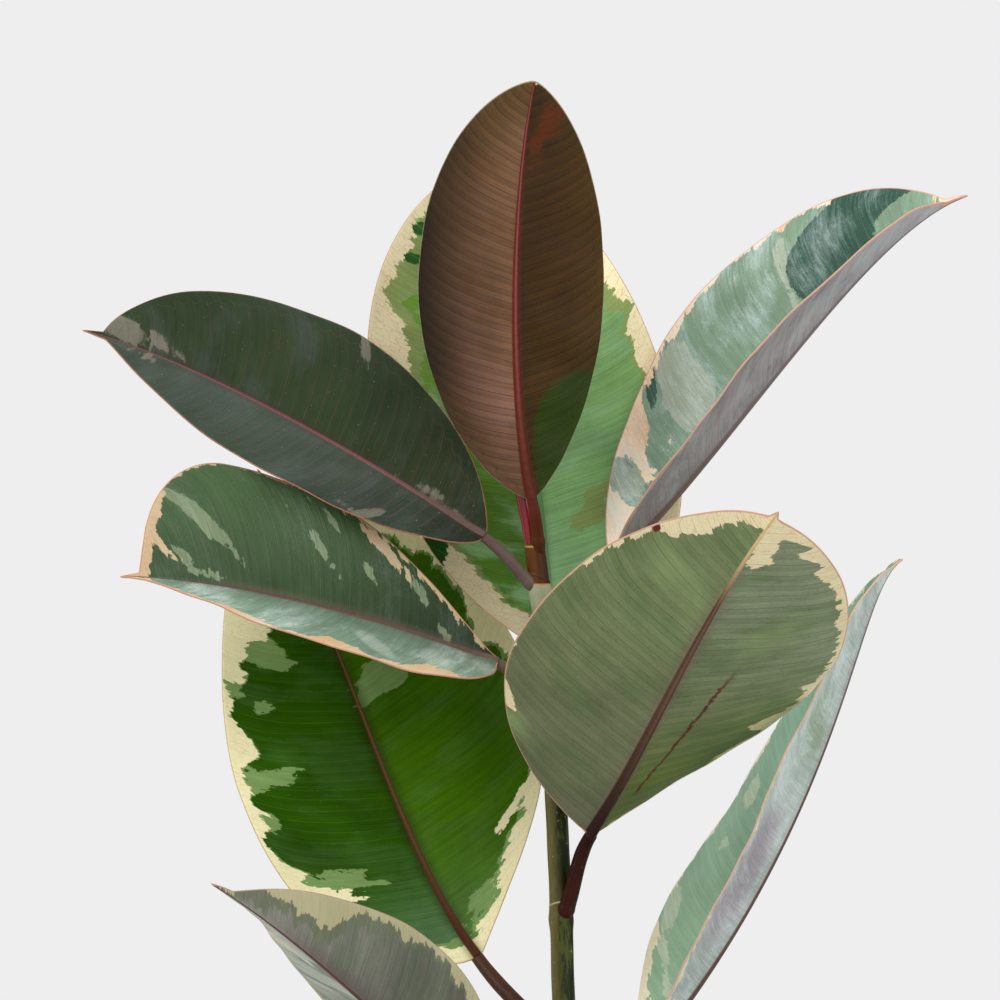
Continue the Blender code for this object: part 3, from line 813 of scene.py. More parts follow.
        rings = np.concatenate([top, under[:, -2:0:-1]], axis=1)
        sides = rings.shape[1]
        tip = bezier(leaf.midrib, np.array([1.0]))
        j = np.arange(sides)
        last = (rows - 1) * sides
        fan = np.stack([last + j, last + (j + 1) % sides, np.full(sides, rows * sides)], axis=1)
        quads = ring_quads(rows, sides)
        piece = add_surface("blade_" + leaf.name, np.concatenate([rings.reshape(-1, 3), tip]),
                            [quads[:, ::-1], fan[:, ::-1], np.arange(sides)[None]])
        for side, finish in (("top", self.look.upper), ("under", self.look.under)):
            piece.data.materials.append(finish.material(f"blade_{side}_{leaf.name}", self.look.stalk.blade))
        upper_quads = np.tile(np.arange(sides) < columns - 1, rows)
        slots = np.concatenate([np.where(upper_quads, 0, 1), [1]])
        piece.data.polygons.foreach_set("material_index", slots.astype(np.int32))

        def ringed(values: np.ndarray, at_tip: float) -> np.ndarray:
            """One value per vertex, the under side repeating the upper side's."""
            return np.append(np.concatenate([values, values[:, -2:0:-1]], axis=1).ravel(), at_tip)

        a_mm, r_mm, rim_mm = a * 1000, r * 1000, rim * 1000
        v = a_mm - MARK_LEAN * np.abs(r_mm)
        out = np.abs(r) / np.maximum(half_width, 1e-6)
        w = a_mm - (VEIN_LEAN[0] + VEIN_LEAN[1] * s ** 2 + VEIN_BEND * out ** 3) * np.abs(r_mm)
        add_attribute(piece, "blade", ringed(w, w.max()), ringed(r_mm, 0),
                      ringed(np.full_like(s, self.seed * SEED_SPREAD), 0))
        add_attribute(piece, "zones", *(ringed(depth, depth[-1].mean())
                                        for depth in self.look.zones(v, r_mm, rim_mm)))
        add_attribute(piece, "rim", ringed(rim_mm, 0), ringed(rib_share, 0), ringed(s, 1))
        return piece


@dataclass(frozen=True)
class Petiole:
    """A petiole over the CAD node petiole_NAME, its end let into the blade's base."""

    leaf: Leaf
    finish: StalkFinish
    rings: int = 64
    sides: int = 28
    groove: float = 0.10            # how flat its upper side is
    into_blade: float = 0.0030
    end_rings: int = 8              # rings inside the blade
    end_taper: float = 0.55         # how much it thins there
    slimming: float = 0.10          # and over the last quarter before the blade
    foot_round: float = 0.0030      # length over which its foot rounds off inside the stem
    foot_taper: float = 0.85
    collar: float = 0.0004          # swelling where it meets the stem
    collar_place: float = 0.0065
    collar_length: float = 0.0022

    def build(self) -> bpy.types.Object:
        """Carries a circle, a little flat on its upper side, along the petiole's curve.

        The radius is the petiole's, swelling by (1 - share)^2 towards the foot, with a collar round the stem.

        Returns:
            The finished piece.
        """
        leaf = self.leaf
        share = np.linspace(0, 1, self.rings) ** 1.5
        line = leaf.petiole_line()
        centres, along = bezier(line, share), bezier_direction(line, share)
        rounding = np.linspace(0, 1, self.end_rings + 1)[1:]
        centres = np.concatenate([centres, centres[-1:] + along[-1:] * self.into_blade * rounding[:, None]])
        along = np.concatenate([along, np.repeat(along[-1:], len(rounding), axis=0)])
        share = np.append(share, np.ones_like(rounding))
        run = np.concatenate([[0], np.cumsum(np.linalg.norm(np.diff(centres, axis=0), axis=1))])
        up = np.tile(leaf.normal(np.array(0.0)), (len(share), 1))
        up = unit(up - (up * along).sum(-1, keepdims=True) * along)
        side = np.cross(along, up)
        angles = circle(self.sides)
        radii = leaf.thickness * (1 + PETIOLE_FOOT_SWELL * (1 - share) ** 2)
        radii = radii + self.collar * np.exp(-((run - self.collar_place) / self.collar_length) ** 2)
        radii = radii * (1 - self.slimming * smooth(0.75, 1.0, share))
        radii[-len(rounding):] *= 1 - self.end_taper * rounding ** 1.5
        radii *= np.sqrt(1 - self.foot_taper * (1 - np.clip(run / self.foot_round, 0, 1)) ** 2)
        section = radii[:, None] * (1 - self.groove * np.clip(np.cos(angles), 0, 1) ** 4)
        around = np.cos(angles)[:, None] * up[:, None] + np.sin(angles)[:, None] * side[:, None]
        piece = ring_tube("stalk_" + leaf.name, centres[:, None] + around * section[..., None])
        turn = np.tile(np.sin(angles / 2) * 2, (len(share), 1))
        add_attribute(piece, "stalk", np.repeat(share, self.sides), turn, np.repeat(run * 1000, self.sides))
        piece.data.materials.append(self.finish.material("stalk_" + leaf.name))
        return piece


@dataclass(frozen=True)
class Bark:
    """The stem's skin: dark olive and tan low down, a red-brown shoot on a pale node at the top; painted
    shade darkens the right side of both.
    """

    # olive: partly the bark's own colour, partly painted shade on the stem's right side
    olive: Colour = (36, 40, 8)
    tan: Colour = (108, 99, 60)
    moss: Colour = (80, 86, 40)
    upper: Colour = (98, 112, 72)
    shoot: Colour = (92, 55, 27)
    # painted shade on the shoot's right side
    shoot_shaded_side: Colour = (60, 32, 6)
    node: Colour = (158, 158, 130)
    ring: Colour = (186, 172, 148)
    bright_ring: Colour = (186, 134, 74)
    rim: Colour = (142, 130, 62)
    fleck: Colour = (160, 156, 124)
    upper_from: Span = (0.50, 0.53)             # heights over which each colour comes in
    node_from: Span = (0.546, 0.553)
    shoot_from: Span = (0.5606, 0.5612)
    rim_from: Span = (0.5778, 0.5784)
    bright_ring_height: float = 0.5612
    marks_to: Span = (0.54, 0.55)               # and over which scars and flecks end

    def material(self, name: str) -> bpy.types.Material:
        """Mottled bark whose colours change with height, with pale flecks and leaf scars."""
        board = Board(name)
        height, turn, scar = board.attribute("stem")
        x, y, z = board.parts(board.place())
        blotch = board.noise(board.join(x * 110.0, y * 110.0, z * 40.0), detail=4, roughness=0.6)
        grain = board.noise(board.join(x * 900.0, y * 900.0, z * 160.0), detail=3, roughness=0.7)
        # Tan on the left, olive on the right: the bark's own mottled colours, with painted shade on the right
        # side
        skin = board.mix((turn + blotch * 2.0).rise(-1.2, 0.4), paint(self.tan), paint(self.olive))
        skin = board.mix((blotch + grain * 0.5).rise(0.04, 0.18) * 0.5, skin, paint(self.moss))
        skin = board.mix(height.rise(*self.upper_from), skin, paint(self.upper))
        skin = board.mix(height.rise(*self.node_from), skin, paint(self.node))
        # The shoot darker towards its right side: painted shade
        shoot = board.mix((turn + blotch).rise(-0.6, 1.2), paint(self.shoot), paint(self.shoot_shaded_side))
        skin = board.mix((height + blotch * 0.002).rise(*self.shoot_from), skin, shoot)
        bright = abs(height - self.bright_ring_height).fall(0.0002, 0.0006)
        skin = board.mix(bright, skin, paint(self.bright_ring))
        skin = board.mix((height + blotch * 0.001).rise(*self.rim_from), skin, paint(self.rim))
        skin = board.shift(skin, blotch * 0.8 + grain * 0.7)
        below = height.fall(*self.marks_to)
        skin = board.mix(scar * below * (grain + 0.85), skin, paint(self.ring))
        pores = board.noise(board.join(x * 420.0, y * 420.0, z * 500.0), detail=1).rise(0.20, 0.26)
        skin = board.mix(pores * below * 0.5, skin, paint(self.fleck))
        board.shade(Base_Color=skin, Roughness=grain * 0.3 + 0.45, Specular_IOR_Level=0.25,
                    Normal=board.bump(grain + pores + blotch, 0.00012))
        return board.material


@dataclass(frozen=True)
class Stem:
    """The stem over the CAD node of the same name, with a scar round it above each leaf."""

    base_radius: float = 0.0060
    tip_radius: float = 0.0047
    swell: float = 0.0006
    swell_length: float = 0.004
    bulge: float = 0.00012
    scar: float = 0.00022
    scar_width: float = 0.00034
    scar_rise: float = 0.0065
    tilt: float = 0.35
    rings: int = 400
    scar_rings: int = 44
    scar_reach: float = 0.0031
    sides: int = 40

    def build(self, leaves: tuple[Leaf, ...], bark: Bark) -> bpy.types.Object:
        """Stacks level rings along the stem's line, slowly tapering, with a swelling and a scar at each leaf.

        Args:
            leaves: the leaves that stand on it.
            bark: its skin.

        Returns:
            The finished piece.
        """
        foot, tip = SOIL_EDGE_HEIGHT + SOIL_DOME - SOIL_HOLE_DEPTH + GAP, STEM_LINE[-1][2]
        round_scar = np.linspace(-self.scar_reach, self.scar_reach, self.scar_rings)
        at_scars = [leaf.foot + self.scar_rise + round_scar for leaf in leaves[1:]]
        levels = np.concatenate([np.linspace(foot, tip, self.rings), *at_scars])
        z = np.unique(np.clip(levels, foot, tip))[:, None]
        angles = circle(self.sides)[None]
        share = np.clip((z - STEM_LINE[0][2]) / (tip - STEM_LINE[0][2]), 0, 1)
        radius = self.base_radius + (self.tip_radius - self.base_radius) * share + 0 * angles
        scars = np.zeros_like(radius)
        for leaf in leaves[1:]:
            radius = radius + self.swell * np.exp(-((z - leaf.foot) / self.swell_length) ** 2)
            side = math.atan2(leaf.midrib[0][1], leaf.midrib[0][0])
            level = z - leaf.foot - self.scar_rise - self.tilt * self.base_radius * np.cos(angles - side)
            scars = scars + np.exp(-(level / self.scar_width) ** 2)
        bulge = self.bulge * np.sin(3 * angles + z * 70) * np.sin(z * 160)
        radius = radius + self.scar * scars + bulge
        middle = stem_line(z[:, 0])[:, None] * (1, 1, 0)
        piece = ring_tube("stem_bark", middle + polar(radius, angles, z))
        add_attribute(piece, "stem", z + 0 * angles, np.cos(angles) + 0 * z, np.clip(scars, 0, 1))
        piece.data.materials.append(bark.material("stem_bark"))
        return piece


@dataclass(frozen=True)
class BudSheath:
    """The rolled red sheath of the next leaf."""

    line: tuple = ((-0.0203, 0.0022, 0.575), (-0.0215, 0.0030, 0.600), (-0.0330, 0.0040, 0.635),
                   (-0.0330, 0.0040, 0.668))
    radii: tuple[float, float, float] = (0.0021, 0.0034, 0.0003)
    overlap: float = 0.13
    seam: float = 0.62              # where round it the roll ends, as a share of a turn
    length: float = 93              # millimetres
    rings: int = 90
    sides: int = 40
    foot: Colour = (122, 28, 36)
    tip: Colour = (92, 24, 30)

    def build(self) -> bpy.types.Object:
        """Carries a rolled section, whose radius grows once round by the overlap, along the sheath's line.

        Returns:
            The finished piece.
        """
        share = np.linspace(0, 1, self.rings)
        centres, along = bezier(self.line, share), bezier_direction(self.line, share)
        across = unit(np.array([0, 1.0, 0]) - along[:, 1:2] * along)
        other = np.cross(along, across)
        turn = np.arange(self.sides) / (self.sides - 1)
        angles = 2 * math.pi * (np.arange(self.sides) / self.sides + self.seam)
        radii = np.maximum(through_three(self.radii, share), self.radii[-1])
        rolled = 1 - self.overlap * (1 - turn) * smooth(0, 0.2, share)[:, None]
        around = np.cos(angles)[:, None] * across[:, None] + np.sin(angles)[:, None] * other[:, None]
        piece = ring_tube("sheath", centres[:, None] + around * (radii[:, None] * rolled)[..., None])
        add_attribute(piece, "stalk", np.repeat(share, self.sides),
                      np.tile(np.sin(angles / 2), (self.rings, 1)),
                      np.repeat(share * self.length, self.sides))
        board = Board("sheath")
        run, turned, length = board.attribute("stalk")
        streak = board.noise(board.join(turned * 9.0, length * 0.05, 1.0), detail=3)
        skin = board.mix(run.rise(0.05, 0.75), paint(self.foot), paint(self.tip))
        skin = board.shift(skin, streak * 0.8)
        board.shade(Base_Color=skin, Roughness=0.25, Coat_Weight=0.4, Coat_Roughness=0.12,
                    Normal=board.bump(streak, 0.00015))
        piece.data.materials.append(board.material)
        return piece


@dataclass(frozen=True)
class Pot:
    """The clay pot over the CAD node of the same name."""

    height: float = 0.190
    base_radius: float = 0.074
    shoulder_radius: float = 0.0945
    rim_radius: float = 0.105
    rim_band: float = 0.038
    wall: float = 0.0085
    rim_wall: float = 0.0136
    floor: float = 0.012
    hub: float = 0.030              # radius of the flat discs that close the floor
    edge: float = 0.003
    band_softness: float = 0.001
    softening: float = 0.0016
    corner_steps: int = 7
    longest: float = 0.012          # stretches of the profile longer than this are split
    splits: int = 13
    drain_radius: float = 0.006
    drain_circle: float = 0.036
    drain_holes: int = 3
    drain_sides: int = 28
    sides: int = 144
    clay: Colour = (190, 118, 84)
    dark_clay: Colour = (160, 90, 60)
    bloom: Colour = (208, 172, 148)

    def inner_radius(self, z: float) -> float:
        """Radius of the inside at the height z."""
        low, high = self.base_radius - self.wall, self.rim_radius - self.rim_wall
        return low + (high - low) * (z - self.floor) / (self.height - self.floor)

    def _profile(self) -> np.ndarray:
        """The wall's profile, each corner rounded by a short quadratic curve between two points beside it."""
        band_foot = self.height - self.rim_band
        corners = np.array([
            (self.hub, 0), (self.base_radius - self.edge, 0), (self.base_radius, self.edge),
            (self.shoulder_radius, band_foot),
            (self.rim_radius - 2 * self.edge, band_foot + self.band_softness),
            (self.rim_radius - self.edge, band_foot + self.edge + self.band_softness),
            (self.rim_radius, self.height - self.edge), (self.rim_radius - self.edge, self.height),
            (self.inner_radius(self.height) + self.edge, self.height),
            (self.inner_radius(self.height - self.edge), self.height - self.edge),
            (self.inner_radius(self.floor), self.floor), (self.hub, self.floor)])
        t = np.linspace(0, 1, self.corner_steps)[:, None]
        pieces = [corners[:1]]
        for before, corner, after in zip(corners, corners[1:], corners[2:]):
            reach = min(self.softening, *(0.45 * np.linalg.norm(other - corner) for other in (before, after)))
            start, end = corner + unit(before - corner) * reach, corner + unit(after - corner) * reach
            pieces.append((1 - t) ** 2 * start + 2 * t * (1 - t) * corner + t * t * end)
        wall = np.concatenate(pieces + [corners[-1:]])
        long = np.nonzero(np.linalg.norm(np.diff(wall, axis=0), axis=1) > self.longest)[0]
        for i in long[::-1]:
            between = np.linspace(wall[i], wall[i + 1], self.splits + 1)[1:-1]
            wall = np.insert(wall, i + 1, between, axis=0)
        return wall

    def build(self) -> bpy.types.Object:
        """Turns the profile about Z and cuts the drain holes.

        Returns:
            The finished piece.
        """
        profile = self._profile()
        piece = ring_tube("pot_clay", polar(profile[:, :1], circle(self.sides), profile[:, 1:]))
        for i in range(self.drain_holes):
            turn = 2 * math.pi * (i + 0.25) / self.drain_holes
            self._drill(piece, self.drain_circle * math.cos(turn), self.drain_circle * math.sin(turn))
        piece.data.shade_smooth()
        piece.data.set_sharp_from_angle(angle=math.radians(50))
        piece.data.materials.append(self._material())
        return piece

    def _drill(self, piece: bpy.types.Object, x: float, y: float) -> None:
        """Cuts one drain hole through the floor."""
        rings = [polar(self.drain_radius, circle(self.drain_sides), level) + (x, y, 0)
                 for level in (-0.01, 2 * self.floor)]
        cutter = ring_tube("drill", np.stack(rings))
        modifier = piece.modifiers.new("drill", "BOOLEAN")
        modifier.operation = "DIFFERENCE"
        modifier.solver = "EXACT"
        modifier.object = cutter
        drilled = bpy.data.meshes.new_from_object(piece.evaluated_get(bpy.context.evaluated_depsgraph_get()))
        piece.modifiers.clear()
        piece.data = drilled
        bpy.data.objects.remove(cutter, do_unlink=True)

    def _material(self) -> bpy.types.Material:
        """Fired clay with turning lines and a little pale bloom."""
        board = Board("pot_clay")
        place = board.place()
        x, y, z = board.parts(place)
        cloud = board.noise(place, scale=14, detail=4, roughness=0.6)
        grain = board.noise(place, scale=420, detail=3, roughness=0.7)
        lines = board.noise(board.join(x * 3.0, y * 3.0, z * 260.0), detail=2)
        clay = board.mix((cloud * 3.0 + 0.5).rise(0.0, 1.0), paint(self.clay), paint(self.dark_clay))
        bloom = board.noise(place, scale=30, detail=5, roughness=0.7) * 3.0 + cloud
        clay = board.mix(bloom.rise(0.1, 1.2) * 0.6, clay, paint(self.bloom))
        clay = board.shift(clay, grain * 0.35 + lines * 0.12)
        board.shade(Base_Color=clay, Roughness=grain * 0.15 + 0.85,
                    Normal=board.bump(lines + grain * 0.6, 0.00025))
        return board.material


@dataclass(frozen=True)
class Lumps:
    """One kind of loose lumps on the soil."""

    name: str
    count: int
    sizes: Span                     # smallest and largest radius
    colour: Colour
    seed: int                       # of the random draws


@dataclass(frozen=True)
class Soil:
    """Potting soil over the CAD node of the same name, with loose crumbs and pale grains on it."""

    edge_radius: float = 0.0876
    hole_radius: float = 0.0063
    bottom: float = 0.0125
    bottom_radius: float = 0.0650
    bump: float = 0.0012
    fine_bump: float = 0.00035
    rings: int = 80
    sides: int = 150
    earth: Colour = (66, 50, 38)
    dark_earth: Colour = (40, 30, 24)
    lumps: tuple[Lumps, ...] = (Lumps("soil_crumbs", 520, (0.0011, 0.0030), (58, 44, 34), 5),
                                Lumps("soil_grains", 70, (0.0009, 0.0018), (214, 208, 196), 6))
    lumps_between: Span = (0.011, 0.0845)
    lumps_rise: float = 0.35        # how far a lump's middle stands above the surface, per radius

    def height(self, radius: np.ndarray, turn: np.ndarray) -> np.ndarray:
        """The surface: a dome with the part's slow waves and finer ones, even at the stem and the wall."""
        share = np.clip((radius - self.hole_radius) / (self.edge_radius - self.hole_radius), 0, 1)
        x, y = radius * np.cos(turn), radius * np.sin(turn)
        fine = (np.sin(x * 310 + 2 * np.sin(y * 190)) + np.sin(y * 270 + 2 * np.sin(x * 230 + 1)) +
                np.sin((x + y) * 520) * 0.6 + np.sin((x - y) * 610 + 2) * 0.6)
        even = np.sin(math.pi * share) ** 0.5
        return (SOIL_EDGE_HEIGHT + SOIL_DOME * (1 - share ** 2)
                + even * (self.bump * np.sin(5 * turn + 9 * share) + self.fine_bump * fine))

    def build(self) -> bpy.types.Object:
        """Turns a closed profile: bottom, wall, uneven surface and the hole for the stem.

        Returns:
            The finished piece.
        """
        turn = circle(self.sides)[None]
        radius = np.linspace(self.edge_radius, self.hole_radius, self.rings)[:, None]
        lowest = polar(self.bottom_radius, turn, self.bottom)
        top = polar(radius, turn, self.height(radius, turn))
        hole = polar(self.hole_radius, turn, SOIL_EDGE_HEIGHT + SOIL_DOME - SOIL_HOLE_DEPTH)
        piece = ring_tube("soil_surface", np.concatenate([lowest, top, hole]))
        board = Board("soil_surface")
        place = board.place()
        crumb = board.node("ShaderNodeTexVoronoi", None, {"Vector": place, "Scale": 420.0})
        cloud = board.noise(place, scale=60, detail=5, roughness=0.7)
        soil = board.mix((cloud * 3.0 + 0.5).rise(0.0, 1.0), paint(self.earth), paint(self.dark_earth))
        soil = board.shift(soil, 0.35 - crumb * 0.9)
        board.shade(Base_Color=soil, Roughness=0.95, Normal=board.bump(cloud * 2.0 - crumb, 0.0012))
        piece.data.materials.append(board.material)
        return piece

    def scatter(self, lumps: Lumps) -> bpy.types.Object:
        """Lays lumps of a few faces over the surface, each a squashed and turned ball with its own bumps.

        Args:
            lumps: their kind and number.

        Returns:
            All lumps as one piece.
        """
        draws, count = np.random.default_rng(lumps.seed), lumps.count
        levels, sides = 3, 7
        tilt = (math.pi * (np.arange(levels) + 1) / (levels + 1))[:, None]
        ball = polar(np.sin(tilt), circle(sides), -np.cos(tilt)).reshape(-1, 3)
        ball = np.concatenate([ball, [(0, 0, -1), (0, 0, 1)]])
        j = np.arange(sides)
        k, last = (j + 1) % sides, (levels - 1) * sides
        low = np.stack([k, j, np.full(sides, levels * sides)], axis=1)
        high = np.stack([last + j, last + k, np.full(sides, levels * sides + 1)], axis=1)

        near, far = self.lumps_between
        radius = np.sqrt(draws.uniform(near ** 2, far ** 2, count))
        turn = draws.uniform(0, 2 * math.pi, count)
        size = draws.uniform(*lumps.sizes, count) * draws.uniform(0.6, 1, count)
        stretch = draws.uniform(0.7, 1.25, (count, 1, 3)) * (1, 1, 0.75)
        bumps = draws.uniform(0.8, 1.15, (count, len(ball), 1))
        angle = draws.uniform(0, 2 * math.pi, (count, 1))
        x, y, z = np.moveaxis(ball * bumps * stretch * size[:, None, None], -1, 0)
        turned = np.stack([x * np.cos(angle) - y * np.sin(angle), x * np.sin(angle) + y * np.cos(angle), z],
                          axis=-1)
        centres = polar(radius, turn, self.height(radius, turn) + size * self.lumps_rise)
        offsets = (np.arange(count) * len(ball))[:, None, None]
        faces = [(corners + offsets).reshape(-1, corners.shape[1])
                 for corners in (ring_quads(levels, sides), low, high)]
        piece = add_surface(lumps.name, (turned + centres[:, None]).reshape(-1, 3), faces)
        board = Board(lumps.name)
        grain = board.noise(board.place(), scale=300, detail=3)
        board.shade(Base_Color=board.tint(lumps.colour, grain * 0.8), Roughness=0.95,
                    Normal=board.bump(grain, 0.0004))
        piece.data.materials.append(board.material)
        return piece


@dataclass(frozen=True)
class Studio:
    """Camera, pale floor and soft light."""

    dome: float = 0.60
    floor_radius: float = 1.3
    floor_hub: float = 0.02
    floor_height: float = -0.0006
    floor_rings: int = 24
    floor_sides: int = 96
    fade_from: float = 0.22
    lights: tuple = (
        ("key", (-1.5, -1.9, 1.9), 1.5, 34.0),
        ("fill", (1.8, -1.6, 0.9), 1.6, 14.0),
        ("top", (0.2, 0.3, 2.6), 1.6, 16.0),
    )
    aim: Point = (-0.03, 0.0, 0.52)

    def build(self) -> None:
        """Sets up the camera, the world, the lights and the floor."""
        scene = bpy.context.scene
        scene.view_settings.view_transform = "Standard"
        camera = bpy.data.cameras.new("camera")
        camera.sensor_width = SENSOR
        camera.lens = SENSOR * -CAMERA_PLACE[1] / FRAME_WIDTH
        view = bpy.data.objects.new("camera", camera)
        view.location = CAMERA_PLACE
        view.rotation_euler = (math.radians(90), 0, 0)
        scene.collection.objects.link(view)
        scene.camera = view
        self._world(scene)
        for name, place, size, power in self.lights:
            self._light(name, place, size, power)
        self._floor()

    def _world(self, scene: bpy.types.Scene) -> None:
        """A plain wall for the camera, and a soft dome of light for everything else."""
        world = bpy.data.worlds.new("studio")
        scene.world = world
        world.use_nodes = True
        nodes, links = world.node_tree.nodes, world.node_tree.links
        nodes.clear()
        wall, dome = nodes.new("ShaderNodeBackground"), nodes.new("ShaderNodeBackground")
        wall.inputs["Color"].default_value = (*[linear(BACKGROUND)] * 3, 1)
        dome.inputs["Color"].default_value = (1.0, 1.0, 1.0, 1)
        dome.inputs["Strength"].default_value = self.dome
        seen, mix = nodes.new("ShaderNodeLightPath"), nodes.new("ShaderNodeMixShader")
        out = nodes.new("ShaderNodeOutputWorld")
        links.new(seen.outputs["Is Camera Ray"], mix.inputs[0])
        links.new(dome.outputs[0], mix.inputs[1])
        links.new(wall.outputs[0], mix.inputs[2])
        links.new(mix.outputs[0], out.inputs[0])

    def _light(self, name: str, place: Point, size: float, power: float) -> None:
        """A square soft box that looks at the plant."""
        light = bpy.data.lights.new(name, "AREA")
        light.shape = "SQUARE"
        light.size = size
        light.energy = power
        box = bpy.data.objects.new(name, light)
        box.location = place
        towards = np.array(self.aim) - np.array(place)
        tip = math.atan2(math.hypot(towards[0], towards[1]), -towards[2])
        box.rotation_euler = (tip, 0, math.atan2(towards[1], towards[0]) - math.pi / 2)
        box.visible_camera = False
        bpy.context.scene.collection.objects.link(box)

    def _floor(self) -> None:
        """A disc under the pot that fades out, so that the wall's grey goes on."""
        count, sides = self.floor_rings, self.floor_sides
        radii = np.linspace(self.floor_radius, self.floor_hub, count)[:, None]
        rings = polar(radii, circle(sides), self.floor_height)
        middle = ((count - 1) * sides + np.arange(sides))[None]
        floor = add_surface("floor", rings.reshape(-1, 3), [ring_quads(count, sides), middle])
        board = Board("floor")
        away = board.node("ShaderNodeVectorMath", {"operation": "LENGTH"}, {0: board.place()}, output="Value")
        board.shade(Base_Color=(0.80, 0.80, 0.80, 1), Roughness=0.9, Specular_IOR_Level=0.1,
                    Alpha=away.fall(self.fade_from, self.floor_radius * 0.95))
        floor.data.materials.append(board.material)


